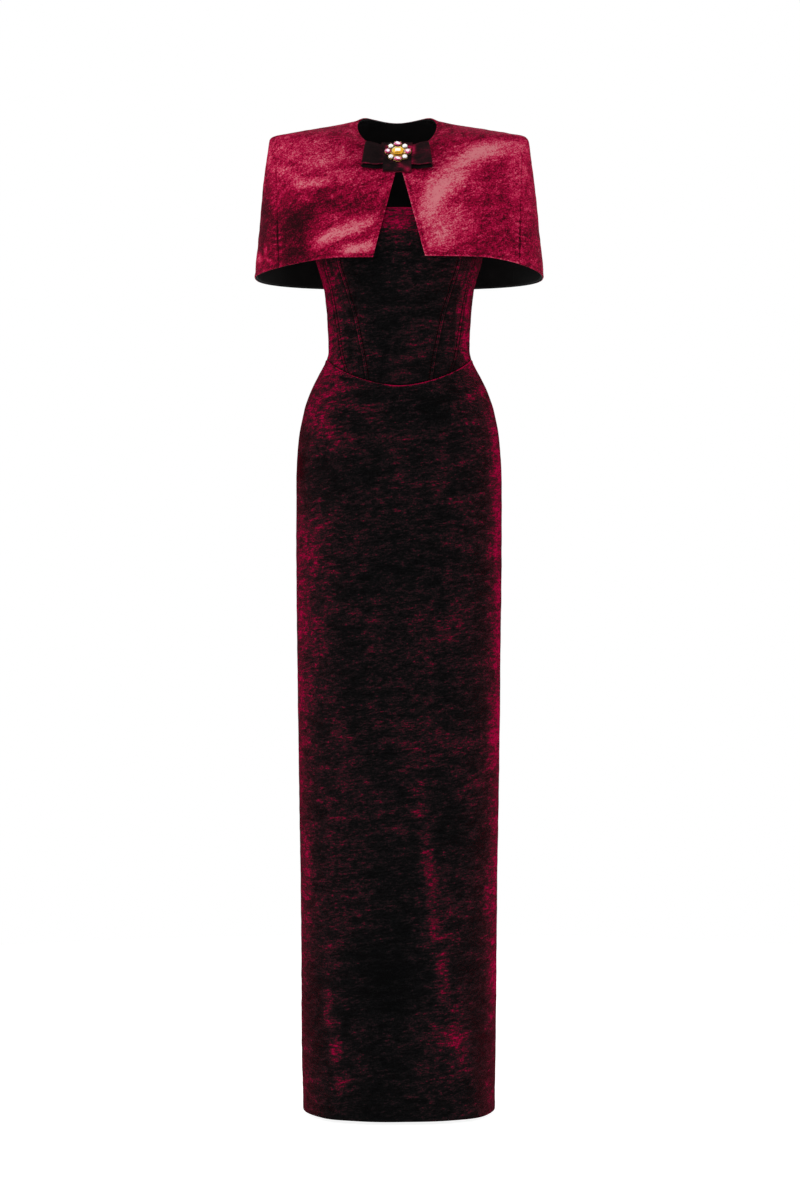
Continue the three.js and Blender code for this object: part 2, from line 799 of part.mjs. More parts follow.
const smallStones = [];
for (let i = 0; i < broochLobes.count; i += 1) {
  const pink = i % 2 === 0;
  const size = pink ? (i % 4 === 0 ? pinkBeside : pinkAbove) : clearRound;
  const turn = (i / broochLobes.count) * 2 * Math.PI;
  smallStones.push({
    name: (pink ? 'brooch_pink_stone_' : 'brooch_clear_stone_') + (Math.floor(i / 2) + 1),
    look: pink ? pinkStone : clearStone,
    outline: ovalOutline(size.reach, size.width, 12),
    height: size.height,
    turn,
    x: brooch.ring * Math.cos(turn),
    y: brooch.ring * Math.sin(turn) * brooch.flatten,
  });
}
const centreStone = {
  name: 'brooch_centre_stone',
  look: yellowStone,
  outline: cutCornerOutline(centreSize.width, centreSize.length, centreSize.corner),
  height: centreSize.height,
  turn: 0,
  x: 0,
  y: 0,
};
const stones = [centreStone, ...smallStones];

function toSolid(geometry) {
  const bare = geometry.clone();
  bare.deleteAttribute('normal');
  bare.deleteAttribute('uv');
  const merged = mergeVertices(bare, 1e-4);
  return new wasm.Manifold(
    new wasm.Mesh({
      numProp: 3,
      vertProperties: merged.getAttribute('position').array,
      triVerts: new Uint32Array(merged.getIndex().array),
    }),
  );
}

function toGeometry(solid) {
  const made = solid.getMesh();
  const geometry = new THREE.BufferGeometry();
  geometry.setAttribute('position', new THREE.BufferAttribute(new Float32Array(made.vertProperties), 3));
  geometry.setIndex(new THREE.BufferAttribute(new Uint32Array(made.triVerts), 1));
  geometry.computeVertexNormals();
  return geometry;
}

// A straight block of an outline that is grown all round by a margin.
function grownBlock(stone, margin, from, to) {
  const size = new THREE.Box2().setFromPoints(stone.outline).getSize(new THREE.Vector2());
  const grow = [(size.x + 2 * margin) / size.x, (size.y + 2 * margin) / size.y];
  const shape = new THREE.Shape(stone.outline.map((p) => new THREE.Vector2(p.x * grow[0], p.y * grow[1])));
  const block = new THREE.ExtrudeGeometry(shape, { depth: to - from, bevelEnabled: false });
  block.translate(0, 0, from);
  block.rotateZ(stone.turn);
  block.translate(stone.x, stone.y, 0);
  return block;
}

// One metal setting: a scalloped plate with a cup for each stone.
function broochSetting() {
  const outline = [];
  for (let i = 0; i < broochLobes.steps; i += 1) {
    const turn = (i / broochLobes.steps) * 2 * Math.PI;
    const radius = broochLobes.radius + broochLobes.scallop * Math.cos(broochLobes.count * turn);
    outline.push(new THREE.Vector2(radius * Math.cos(turn), radius * Math.sin(turn) * brooch.flatten));
  }
  const plate = new THREE.ExtrudeGeometry(new THREE.Shape(outline), {
    depth: brooch.plate,
    bevelEnabled: false,
  });
  let setting = toSolid(plate);
  for (const stone of stones) {
    const cupTop = brooch.plate + (stone === centreStone ? collet.height + 1 : collet.height);
    setting = setting.add(toSolid(grownBlock(stone, stoneClearance + collet.wall, 0, cupTop)));
  }
  for (const stone of stones) {
    setting = setting.subtract(toSolid(grownBlock(stone, stoneClearance, brooch.plate, brooch.plate + 9)));
  }
  return toGeometry(setting);
}

function addBrooch() {
  const group = new THREE.Group();
  const seat = onCape(brooch.x, brooch.z, knot.depth);
  const outwards = onCape(brooch.x, brooch.z, knot.depth + 1).sub(seat);
  const tilt = Math.atan2(outwards.z, -outwards.y);
  const facing = new THREE.Vector3(0, -Math.cos(tilt), Math.sin(tilt));
  group.position.copy(seat).addScaledVector(facing, brooch.standOff);
  group.rotation.x = QUARTER - tilt;
  garment.add(group);
  addPiece('brooch_setting', broochSetting(), goldMetal, group);
  for (const stone of stones) {
    const cut = cutStone(stone.outline, stoneLevels(stone.height));
    const mesh = addPiece(stone.name, cut, stone.look, group);
    mesh.position.set(stone.x, stone.y, brooch.plate + stoneClearance);
    mesh.rotation.z = stone.turn;
  }
}

// The zip

// The slider's body with an arched bridge over it, which the pull tab's bar passes under.
function zipSlider(bodyY) {
  const body = new THREE.BoxGeometry(slider.width, slider.thick, slider.length);
  body.translate(0, bodyY + slider.thick / 2, slider.z);
  const arch = new THREE.Shape();
  const foot = pullAxisLift + 0.4;
  arch.moveTo(-slider.bridgeOuter, -foot);
  arch.lineTo(-slider.bridgeOuter, 0);
  arch.absarc(0, 0, slider.bridgeOuter, Math.PI, 0, true);
  arch.lineTo(slider.bridgeOuter, -foot);
  arch.lineTo(slider.bridgeInner, -foot);
  arch.lineTo(slider.bridgeInner, 0);
  arch.absarc(0, 0, slider.bridgeInner, 0, Math.PI, false);
  arch.lineTo(-slider.bridgeInner, -foot);
  const bridge = new THREE.ExtrudeGeometry(arch, {
    depth: slider.bridgeWide,
    bevelEnabled: false,
    curveSegments: 8,
  });
  bridge.translate(0, 0, -slider.bridgeWide / 2);
  // The arch is drawn in its own plane, then stood along Z and turned to face away from the back.
  const frame = new THREE.Matrix4().makeBasis(
    new THREE.Vector3(0, 0, 1),
    new THREE.Vector3(0, 1, 0),
    new THREE.Vector3(-1, 0, 0),
  );
  bridge.applyMatrix4(frame);
  bridge.translate(0, bodyY + slider.thick + pullAxisLift, slider.z);
  return toGeometry(toSolid(body).add(toSolid(bridge)));
}

// A flat tab that hangs from the bar over its window.
function zipPull(pivotY) {
  const top = pullTab.bar / 2;
  const end = pullTab.endWidth / 2;
  const outline = [[pullTab.width / 2, top], [-pullTab.width / 2, top]];
  for (let turn = 180; turn <= 360; turn += 22.5) {
    outline.push([end * Math.cos(turn * DEG), end - pullTab.length + end * Math.sin(turn * DEG)]);
  }
  const half = pullTab.windowHalf;
  const opening = [[half, -top], [-half, -top], [-half, -pullTab.windowEnd], [half, -pullTab.windowEnd]];
  const toPoints = (pairs) => pairs.map(([x, y]) => new THREE.Vector2(x, y));
  const shape = new THREE.Shape(toPoints(outline));
  shape.holes.push(new THREE.Path(toPoints(opening)));
  const tab = new THREE.ExtrudeGeometry(shape, { depth: pullTab.thick, bevelEnabled: false });
  tab.translate(0, 0, -pullTab.thick / 2);
  tab.rotateX(QUARTER);
  tab.translate(0, pivotY, slider.z);
  return tab;
}

function addZip() {
  const bodyY = gownRadius(BACK, slider.z) + seamGap + 0.1;
  addPiece('zip_slider', zipSlider(bodyY), zipMetal);
  addPiece('zip_pull', zipPull(bodyY + slider.thick + pullAxisLift), zipMetal);
}

addBodice();
addSkirt();
addCape();
addBow();
addBrooch();
addZip();

export default garment;
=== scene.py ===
import math
import bmesh
import bpy
import numpy as np
from mathutils import Matrix, Vector


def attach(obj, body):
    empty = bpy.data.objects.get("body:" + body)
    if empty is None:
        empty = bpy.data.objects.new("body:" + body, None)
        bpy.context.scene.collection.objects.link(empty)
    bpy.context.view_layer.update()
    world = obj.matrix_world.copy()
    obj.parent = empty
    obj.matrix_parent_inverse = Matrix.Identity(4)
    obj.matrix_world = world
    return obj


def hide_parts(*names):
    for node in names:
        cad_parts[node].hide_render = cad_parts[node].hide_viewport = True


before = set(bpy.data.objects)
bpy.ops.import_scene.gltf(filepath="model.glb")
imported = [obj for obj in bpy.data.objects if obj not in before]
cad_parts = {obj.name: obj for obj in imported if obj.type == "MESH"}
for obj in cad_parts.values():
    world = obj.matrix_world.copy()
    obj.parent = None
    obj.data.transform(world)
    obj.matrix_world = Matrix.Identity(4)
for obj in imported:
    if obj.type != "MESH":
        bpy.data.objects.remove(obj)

# Column gown in crushed velvet with its short cape. Sizes are in millimetres here and go into the
# meshes in metres; the front faces -Y and the origin is the middle of the waist.

millimetre = 0.001
backAngle = math.pi
quarter = math.pi / 2
white = (1.0, 1.0, 1.0, 1.0)
middleRadius = 140  # turns an angle round the gown into millimetres
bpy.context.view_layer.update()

cameraSettings = {
    "place": (0.0015, -4.2, -0.38625), "lens": 81.55, "clip": (0.05, 60.0),
}

camera = bpy.data.cameras.new("studioCamera")
camera.lens = cameraSettings["lens"]
camera.sensor_width = 36.0
camera.clip_start, camera.clip_end = cameraSettings["clip"]
cameraObject = bpy.data.objects.new("studioCamera", camera)
cameraObject.location = cameraSettings["place"]
cameraObject.rotation_euler = (quarter, 0.0, 0.0)
bpy.context.scene.collection.objects.link(cameraObject)
bpy.context.scene.camera = cameraObject
bpy.context.scene.view_settings.view_transform = "Standard"
print("camera ready")


# Shader nodes

def feed(tree, node, inputs):
    for name, value in inputs.items():
        if isinstance(value, bpy.types.NodeSocket):
            tree.links.new(value, node.inputs[name])
        else:
            node.inputs[name].default_value = value


def addNode(tree, kind, inputs=None, **settings):
    made = tree.nodes.new(kind)
    for name, value in settings.items():
        setattr(made, name, value)
    feed(tree, made, inputs or {})
    return made


def calculate(tree, operation, *values):
    return addNode(tree, "ShaderNodeMath", dict(enumerate(values)), operation=operation).outputs[0]


def scaled(tree, value, factor, offset):
    return calculate(tree, "MULTIPLY_ADD", value, factor, offset)


def newMaterial(name):
    material = bpy.data.materials.new(name)
    material.use_nodes = True
    tree = material.node_tree
    place = addNode(tree, "ShaderNodeTexCoord").outputs["Object"]
    return material, tree, tree.nodes["Principled BSDF"], place


def colourRamp(tree, value, stops):
    reach = stops[-1][0]
    ramp = addNode(tree, "ShaderNodeValToRGB", {"Fac": calculate(tree, "MULTIPLY", value, 1 / reach)})
    points = ramp.color_ramp.elements
    while len(points) < len(stops):
        points.new(0.5)
    for point, (place, colour) in zip(points, stops):
        point.position = place / reach
        point.color = (*colour, 1.0)
    return ramp.outputs["Color"]


def noise(tree, vector, scale, detail=2.0, roughness=0.5, distortion=0.0):
    placed = addNode(tree, "ShaderNodeMapping", {"Vector": vector, "Scale": scale})
    settings = {"Scale": 1.0, "Detail": detail, "Roughness": roughness, "Distortion": distortion}
    made = addNode(tree, "ShaderNodeTexNoise", {"Vector": placed.outputs[0], **settings})
    return made.outputs["Fac"]


def attribute(tree, name):
    return addNode(tree, "ShaderNodeAttribute", attribute_name=name).outputs["Fac"]


def bumped(tree, height, strength, distance):
    inputs = {"Strength": strength, "Distance": distance, "Height": height}
    return addNode(tree, "ShaderNodeBump", inputs).outputs[0]


# Room

room = {
    "airGlow": 0.5, "floorZ": -1.176, "floorRadius": 2.2, "paperShade": (0.4, 0.4, 0.4, 1.0),
    "paperGlow": 0.9,
    # Name, place, aim, size and power
    "softboxes": [
        ("keySoftbox", (-1.1, -2.7, 2.9), (0.0, 0.0, 0.2), (2.2, 1.4), 60.0),
        ("sideLeft", (2.3, -0.9, -0.1), (0.0, 0.0, -0.3), (0.7, 2.6), 34.0),
        ("sideRight", (-2.3, -0.9, -0.1), (0.0, 0.0, -0.3), (0.7, 2.6), 34.0),
        ("backSoftbox", (0.6, 3.4, 1.9), (0.0, 0.0, 0.0), (2.0, 2.0), 30.0),
    ],
}


def softbox(name, place, aim, size, power):
    lamp = bpy.data.lights.new(name, "AREA")
    lamp.shape = "RECTANGLE"
    lamp.size, lamp.size_y = size
    lamp.energy = power
    lampObject = bpy.data.objects.new(name, lamp)
    lampObject.location = place
    aimLine = Vector(aim) - Vector(place)
    lampObject.rotation_euler = aimLine.to_track_quat("-Z", "Y").to_euler()
    bpy.context.scene.collection.objects.link(lampObject)


def background(tree, strength):
    return addNode(tree, "ShaderNodeBackground", {"Color": white, "Strength": strength}).outputs[0]


def buildRoom():
    world = bpy.data.worlds.new("studioAir")
    bpy.context.scene.world = world
    world.use_nodes = True
    tree = world.node_tree
    tree.nodes.clear()
    seen = addNode(tree, "ShaderNodeLightPath").outputs["Is Camera Ray"]
    shown = {0: seen, 1: background(tree, room["airGlow"]), 2: background(tree, 1.0)}
    blend = addNode(tree, "ShaderNodeMixShader", shown)
    addNode(tree, "ShaderNodeOutputWorld", {"Surface": blend.outputs[0]})

    bpy.ops.object.select_all(action="DESELECT")
    bpy.ops.mesh.primitive_circle_add(
        vertices=96,
        radius=room["floorRadius"],
        fill_type="NGON",
        location=(0.0, 0.0, room["floorZ"]),
    )
    floor = bpy.context.object
    floor.name = "studioFloor"
    paper, tree, shader, _ = newMaterial("whitePaper")
    feed(tree, shader, {
        "Base Color": room["paperShade"],
        "Roughness": 0.9,
        "Emission Color": white,
        "Emission Strength": room["paperGlow"],
    })
    floor.data.materials.append(paper)
    for box in room["softboxes"]:
        softbox(*box)


buildRoom()
print("room ready")


# Crushed velvet: its pile lies in level streaks, painted bright as a sheen where it would lean to the light.
# Lit and shaded copies of one velvet: the cape's look is painted brighter as if lit from above, and the
# gown's and the bow's are painted darker where they face away from the light.
velvetLooks = {
    "gownVelvet": {
        "streak": (26.0, 26.0, 78.0), "fleck": (105.0, 105.0, 330.0), "lean": 0.12,
        "zone": (8.0, 8.0, 10.0), "grain": (420.0, 420.0, 560.0),
        "weights": (1.6, 1.6, 0.75, 0.95), "level": -2.05,
        "stops": [
            (0.0, (0.0022, 0.0023, 0.0024)), (0.38, (0.0042, 0.0042, 0.0044)),
            (0.53, (0.0100, 0.0064, 0.0072)), (0.68, (0.0225, 0.0074, 0.0100)),
            (0.84, (0.0800, 0.0028, 0.0130)), (1.06, (0.2700, 0.0022, 0.0330)),
        ],
        "roughness": (0.62, 0.88), "specular": 0.0,
        "sheen": (0.30, 0.25, (0.66, 0.003, 0.058, 1.0)), "bump": (1.0, 0.005),
    },
    "capeVelvet": {
        "streak": (34.0, 34.0, 74.0), "fleck": (120.0, 120.0, 270.0), "lean": 0.42,
        "zone": (11.0, 11.0, 14.0), "grain": (430.0, 430.0, 520.0),
        "weights": (0.95, 1.05, 0.55, 1.25), "level": -1.41,
        "stops": [
            (0.0, (0.0130, 0.0022, 0.0034)), (0.26, (0.0620, 0.0018, 0.0088)),
            (0.48, (0.1950, 0.0012, 0.0190)), (0.66, (0.3550, 0.0030, 0.0430)),
            (0.84, (0.4550, 0.0420, 0.0900)), (1.05, (0.5300, 0.1550, 0.1800)),
        ],
        "roughness": (0.50, 0.75), "specular": 0.02,
        "sheen": (0.22, 0.3, (0.75, 0.012, 0.10, 1.0)), "bump": (0.9, 0.0035),
    },
    "bowVelvet": {
        "streak": (60.0, 60.0, 240.0), "fleck": (200.0, 200.0, 500.0), "lean": 0.0,
        "zone": (30.0, 30.0, 30.0), "grain": (900.0, 900.0, 900.0),
        "weights": (0.8, 0.5, 0.7, 0.2), "level": -0.68,
        "stops": [
            (0.0, (0.0030, 0.0026, 0.0027)), (0.45, (0.0090, 0.0050, 0.0055)),
            (0.65, (0.0300, 0.0052, 0.0090)), (0.85, (0.1400, 0.0050, 0.0200)),
            (1.0, (0.3300, 0.0100, 0.0500)),
        ],
        "roughness": (0.55, 0.85), "specular": 0.03,
        "sheen": (0.2, 0.3, (0.6, 0.02, 0.08, 1.0)), "bump": (0.5, 0.002),
    },
}


def velvetMaterial(name, look):
    material, tree, shader, place = newMaterial(name)
    turned = addNode(tree, "ShaderNodeMapping", {"Vector": place, "Rotation": (0.0, look["lean"], 0.0)})
    streak = noise(tree, turned.outputs[0], look["streak"], 9.0, 0.72, 0.35)
    fleck = noise(tree, turned.outputs[0], look["fleck"], 4.0, 0.7, 0.2)
    zone = noise(tree, place, look["zone"], 3.0, 0.55, 0.4)
    grain = noise(tree, place, look["grain"], 2.0, 0.6)
    total = look["level"]
    for pattern, weight in zip((streak, fleck, zone, grain), look["weights"]):
        total = scaled(tree, pattern, weight, total)
    # The pile attribute adds painted highlights and painted shade, with some random tone of the pile, to the
    # colour.
    total = calculate(tree, "ADD", total, attribute(tree, "pile"))
    low, high = look["roughness"]
    sheen, sheenRoughness, sheenTint = look["sheen"]
    height = scaled(tree, grain, 0.12, scaled(tree, fleck, 0.4, streak))
    feed(tree, shader, {
        "Base Color": colourRamp(tree, total, look["stops"]),
        "Roughness": scaled(tree, streak, low - high, high + 0.1),
        "Specular IOR Level": look["specular"],
        "Sheen Weight": sheen,
        "Sheen Roughness": sheenRoughness,
        "Sheen Tint": sheenTint,
        "Normal": bumped(tree, height, *look["bump"]),
    })
    return material


def satinMaterial(name, stops):
    material, tree, shader, place = newMaterial(name)
    weave = noise(tree, place, (1500.0, 1500.0, 500.0), 2.0)
    cloud = noise(tree, place, (22.0, 22.0, 30.0), 3.0, 0.5, 0.3)
    feed(tree, shader, {
        "Base Color": colourRamp(tree, cloud, stops),
        "Roughness": scaled(tree, cloud, 0.25, 0.42),
        "Specular IOR Level": 0.12,
        "Normal": bumped(tree, scaled(tree, weave, 0.2, cloud), 0.25, 0.001),
    })
    return material


def metalMaterial(name, stops, roughness):
    material, tree, shader, place = newMaterial(name)
    wear = noise(tree, place, (900.0, 900.0, 900.0), 4.0, 0.6)
    feed(tree, shader, {
        "Base Color": colourRamp(tree, wear, stops),
        "Roughness": scaled(tree, wear, 0.2, roughness - 0.1),
        "Metallic": 1.0,
        "Normal": bumped(tree, wear, 0.15, 0.0003),
    })
    return material


# Each facet of a stone has its own painted brightness, a painted reflection of another part of the room.
def stoneMaterial(name, stops):
    material, tree, shader, place = newMaterial(name)
    cloud = noise(tree, place, (500.0, 500.0, 500.0), 2.0)
    value = scaled(tree, cloud, 0.3, attribute(tree, "facet"))
    feed(tree, shader, {
        "Base Color": colourRamp(tree, calculate(tree, "SUBTRACT", value, 0.15), stops),
        "Roughness": scaled(tree, cloud, 0.04, 0.02),
        "IOR": 1.55,
        "Specular IOR Level": 0.35,
        "Coat Weight": 0.25,
        "Coat Roughness": 0.02,
    })
    return material


satinStops = [(0.3, (0.0022, 0.0020, 0.0021)), (0.8, (0.0065, 0.0048, 0.0050))]
goldStops = [(0.35, (0.52, 0.30, 0.07)), (0.7, (0.82, 0.56, 0.20))]
zipStops = [(0.35, (0.09, 0.03, 0.035)), (0.7, (0.20, 0.07, 0.08))]
# In the stone ramps the top stops are painted highlights and the lowest stops painted shade.
stoneStops = {
    "pinkStone": [
        (0.0, (0.050, 0.001, 0.010)), (0.30, (0.420, 0.008, 0.080)),
        (0.62, (0.800, 0.130, 0.360)), (0.85, (1.000, 0.860, 0.930)),
    ],
    "clearStone": [
        (0.0, (0.030, 0.030, 0.034)), (0.28, (0.480, 0.480, 0.510)),
        (0.55, (0.930, 0.930, 0.950)), (1.0, (1.000, 1.000, 1.000)),
    ],
    "yellowStone": [
        (0.0, (0.120, 0.045, 0.001)), (0.28, (0.720, 0.340, 0.004)),
        (0.70, (0.920, 0.600, 0.012)), (0.86, (1.000, 0.980, 0.860)),
    ],
}

materials = {name: velvetMaterial(name, look) for name, look in velvetLooks.items()}
materials["blackSatin"] = satinMaterial("blackSatin", satinStops)
materials["goldMetal"] = metalMaterial("goldMetal", goldStops, 0.3)
materials["zipMetal"] = metalMaterial("zipMetal", zipStops, 0.4)
for stoneName, stops in stoneStops.items():
    materials[stoneName] = stoneMaterial(stoneName, stops)
print("materials ready")


# Form of the gown

# Height above the waist, half width, reach of the front and of the back, and squareness of the oval
gownTable = np.array([
    (-1170, 147.6, 123, 120, 2.25), (-1035, 149.9, 119, 120.5, 2.25),
    (-850, 151.4, 118, 121.5, 2.2), (-664, 154.5, 117, 123.5, 2.2),
    (-479, 156.8, 115.5, 126, 2.15), (-294, 158.4, 114, 129.5, 2.15),
    (-201, 158.4, 112, 130.5, 2.15), (-145, 155.5, 108, 122, 2.15),
    (-96, 147, 101.5, 106.5, 2.15), (-71, 139, 96.5, 97.5, 2.15),
    (-46, 127.5, 91, 88, 2.15), (-24, 115.5, 87, 81, 2.15),
    (-14, 110.3, 85.5, 78.5, 2.2), (0, 108.9, 84, 77.5, 2.2),
    (52, 111.2, 92, 82, 2.25), (93, 116, 107, 88.5, 2.35),
    (125, 124.5, 118.5, 93, 2.4), (152, 131, 123, 96, 2.45),
    (180, 134, 115.5, 98, 2.45), (210, 133, 101, 98.5, 2.4),
])

cup = {"x": 80, "z": 152, "lift": 9, "wide": 30, "high": 34}

# Soft folds of the skirt: heights, angles, lift, and half width in degrees
skirtFolds = [
    (-640, -1170, 4, 54, 4.5, 11),
    (-860, -1170, -44, -47, 4, 10),
    (-700, -1170, 20, 8, -3, 16),
    (-560, -1170, 148, 132, 4, 12),
    (-620, -1170, -146, -128, 4, 12),
]
foldFade = 160

hemZ = -1170
neckline = {"front": 206, "back": 190, "turnFrom": math.radians(60), "turnTo": math.radians(150)}
waistSeam = {"side": -15.5, "drop": 46.5, "curve": 1.75, "measuredAt": -40}
slit = {"topZ": -720, "halfGap": 5}
princessSeam = np.array([(-62, 45), (-40, 47.5), (17, 58), (47, 64.5), (87, 77), (136, 90), (206, 86)])
sideFrontSeam = np.array([(-40, 77), (-18, 84), (17, 90), (52, 95.5), (92, 103.5), (130, 113), (206, 117)])
sideBackSeam = np.array([(-40, 58), (17, 60), (92, 74), (206, 90)])


def easedStep(value, low, high):
    share = np.clip((value - low) / (high - low), 0.0, 1.0)
    return share * share * (3.0 - 2.0 * share)


def mixed(first, second, share):
    return first + (second - first) * share


def readColumn(table, column, z):
    heights = table[:, 0].astype(float)
    values = table[:, column].astype(float)
    rise = np.diff(values) / np.diff(heights)
    slopes = np.empty(len(heights))
    slopes[0], slopes[-1] = rise[0], rise[-1]
    product = rise[:-1] * rise[1:]
    total = rise[:-1] + rise[1:]
    slopes[1:-1] = np.where(product > 0, 2 * product / np.where(total == 0, 1, total), 0)
    held = np.clip(z, heights[0], heights[-1])
    i = np.clip(np.searchsorted(heights, held, side="left") - 1, 0, len(heights) - 2)
    span = heights[i + 1] - heights[i]
    s = (held - heights[i]) / span
    turn = s * s * (3 - 2 * s)
    start = slopes[i] * span * s * (1 - s) ** 2
    end = slopes[i + 1] * span * s * s * (1 - s)
    return values[i] * (1 - turn) + values[i + 1] * turn + start - end


def ovalRadius(angle, half, front, back, square):
    depth = np.where(np.cos(angle) > 0, front, back)
    sideways = np.abs(np.sin(angle)) / half
    forwards = np.abs(np.cos(angle)) / depth
    return (sideways ** square + forwards ** square) ** (-1 / square)


def fromFront(angle):
    return np.arccos(np.clip(np.cos(angle), -1, 1))


def plainRadius(angle, z):
    half, front, back, square = (readColumn(gownTable, column, z) for column in (1, 2, 3, 4))
    return ovalRadius(angle, half, front, back, square)


def foldLift(angle, z):
    lift = 0.0
    for fromZ, toZ, fromAngle, toAngle, height, wide in skirtFolds:
        down = np.clip((fromZ - z) / (fromZ - toZ), 0, 1)
        line = np.radians(mixed(fromAngle, toAngle, down))
        away = np.arctan2(np.sin(angle - line), np.cos(angle - line)) / math.radians(wide)
        lift = lift + height * easedStep(fromZ - z, 0, foldFade) * np.exp(-away * away)
    return lift


def gownRadius(angle, z):
    radius = plainRadius(angle, z)
    fromCup = (np.abs(radius * np.sin(angle)) - cup["x"]) / cup["wide"]
    fromHeight = (z - cup["z"]) / cup["high"]
    rise = cup["lift"] * np.exp(-fromCup * fromCup - fromHeight * fromHeight)
    return radius + np.where(np.cos(angle) > 0, rise, 0.0) + foldLift(angle, z)


def aroundAxis(angle, radius, z):
    angle, radius, z = np.broadcast_arrays(angle, radius, z)
    return np.stack([radius * np.sin(angle), -radius * np.cos(angle), z], axis=-1)


def gownFace(angle, z):
    return aroundAxis(angle, gownRadius(angle, z), z)


def necklineZ(angle):
    turn = easedStep(fromFront(angle), neckline["turnFrom"], neckline["turnTo"])
    return mixed(neckline["front"], neckline["back"], turn)


def waistSeamZ(angle):
    z = waistSeam["measuredAt"]
    half = float(readColumn(gownTable, 1, np.array(float(z))))
    share = plainRadius(angle, z + 0 * angle) * np.abs(np.sin(angle)) / half
    dipped = waistSeam["side"] - waistSeam["drop"] * (1 - np.minimum(share, 1) ** waistSeam["curve"])
    return np.where(np.cos(angle) > 0, dipped, waistSeam["side"])


def skirtFace(angle, z):
    proud = 0.8 * (1 - easedStep(waistSeamZ(angle) - z, 0, 20))
    return aroundAxis(angle, gownRadius(angle, z) + proud, z)


def pushed(base, normal, by):
    return base + normal * by[..., None]


def faceNormal(face, angle, place, downwards):
    step = 1e-3
    along = face(angle + step, place) - face(angle - step, place)
    up = face(angle, place + step) - face(angle, place - step)
    if downwards:
        up = -up
    normal = np.cross(along, up)
    return normal / np.linalg.norm(normal, axis=-1, keepdims=True)


def bisected(low, high, isShort, steps=34):
    for _ in range(steps):
        tried = (low + high) / 2
        short = isShort(tried)
        low = np.where(short, tried, low)
        high = np.where(short, high, tried)
    return (low + high) / 2


def angleAtX(x, z, onBack):
    def isShort(tried):
        return gownRadius(backAngle - tried if onBack else tried, z) * np.sin(tried) < x

    found = bisected(np.zeros_like(z), np.full_like(z, quarter), isShort)
    return backAngle - found if onBack else found


def seamFromTable(table, onBack):
    def seam(heightAt, shares):
        angle = np.full_like(shares, backAngle * 0.75 if onBack else quarter / 2)
        for _ in range(5):
            z = heightAt(angle, shares)
            angle = angleAtX(readColumn(table, 1, z), z, onBack)
        return angle
    return seam


def atSide(heightAt, shares):
    return np.full_like(shares, quarter)


def atCentreBack(heightAt, shares):
    z = heightAt(np.full_like(shares, backAngle), shares)
    opened = easedStep(slit["topZ"] - z, 0, slit["topZ"] - hemZ) * slit["halfGap"]
    return backAngle - opened / gownRadius(np.full_like(z, backAngle), z)


atPrincess = seamFromTable(princessSeam, False)
atSideFront = seamFromTable(sideFrontSeam, False)
atSideBack = seamFromTable(sideBackSeam, True)


# Form of the cape

neckRing = (61, 60, 60, 2)
shoulderRing = (200.5, 94, 106, 2)
capeHemRing = (222.5, 136, 149, 2.65)
neckHeight = {
    "front": 307.2, "high": 365.2, "back": 361, "riseFrom": math.radians(24),
    "riseTo": math.radians(132),
}
neckShift = -3  # the neck opening sits this far to one side
shoulderHeight = {"front": 252, "side": 328.5, "back": 274}
capeHemHeight = {"side": 110, "back": 109}

# Lift of the hem towards the front, on the left and the right, and the angles at which it starts
# and is full
hemLift = [(19, math.radians(86), math.radians(43)), (17, math.radians(80), math.radians(33))]
shoulderRound = {"side": 10, "front": 66, "power": 6}
shoulderCrown = 4.8
sideBow = 1.8
shoulderFall = 0.4
frontParting = {"hemX": 39.6, "hemZ": 127, "meetZ": 282}
capeSideSeam = {"topX": 190, "hemX": 182, "settle": 0.07}
capeOverBodice = 6.0


def neckZ(angle):
    turn = easedStep(fromFront(angle), neckHeight["riseFrom"], neckHeight["riseTo"])
    settled = easedStep(fromFront(angle), neckHeight["riseTo"], backAngle)
    return mixed(neckHeight["front"], mixed(neckHeight["high"], neckHeight["back"], settled), turn)


def capeHemZ(angle):
    onBack = mixed(capeHemHeight["back"], capeHemHeight["side"], np.abs(np.sin(angle)))
    left, right = (by * easedStep(first - fromFront(angle), 0, first - full) for by, first, full in hemLift)
    onFront = capeHemHeight["side"] + np.where(np.sin(angle) > 0, left, right)
    return np.where(np.cos(angle) <= 0, onBack, onFront)


def capeFall(angle, down):
    low = np.where(np.cos(angle) > 0, shoulderHeight["front"], shoulderHeight["back"])
    shoulderZ = mixed(low, shoulderHeight["side"], np.sin(angle) ** 2)
    neck = np.stack([ovalRadius(angle, *neckRing), neckZ(angle)], -1)
    shoulder = np.stack([ovalRadius(angle, *shoulderRing), shoulderZ], -1)
    hem = np.stack([ovalRadius(angle, *capeHemRing), capeHemZ(angle)], -1)
    upper = np.linalg.norm(shoulder - neck, axis=-1)
    lower = np.linalg.norm(hem - shoulder, axis=-1)
    sideShare = np.abs(np.sin(angle)) ** shoulderRound["power"]
    reach = mixed(shoulderRound["front"], shoulderRound["side"], sideShare)
    turn = np.minimum(reach, np.minimum(0.95 * upper, 0.95 * lower))
    onUpper = (down / shoulderFall - 1) * upper
    onLower = (down - shoulderFall) / (1 - shoulderFall) * lower
    run = np.where(down < shoulderFall, onUpper, onLower)
    sideways = np.sin(angle) ** 4

    def upperPoint(length):
        out = np.clip(1 + length / upper, 0, None)
        point = shoulder + (neck - shoulder) * (1 - out)[..., None]
        point[..., 1] += shoulderCrown * sideways * np.sin(np.pi * out ** 0.7)
        return point

    def lowerPoint(length):
        point = shoulder + (hem - shoulder) * (length / lower)[..., None]
        point[..., 0] += sideBow * sideways * np.sin(np.pi * length / lower)
        return point

    q = np.clip((run + turn) / (2 * turn), 0, 1)[..., None]
    bend = upperPoint(-turn) * (1 - q) ** 2 + shoulder * 2 * q * (1 - q) + lowerPoint(turn) * q * q
    above = (run <= -turn)[..., None]
    below = (run >= turn)[..., None]
    return np.where(above, upperPoint(run), np.where(below, lowerPoint(run), bend))


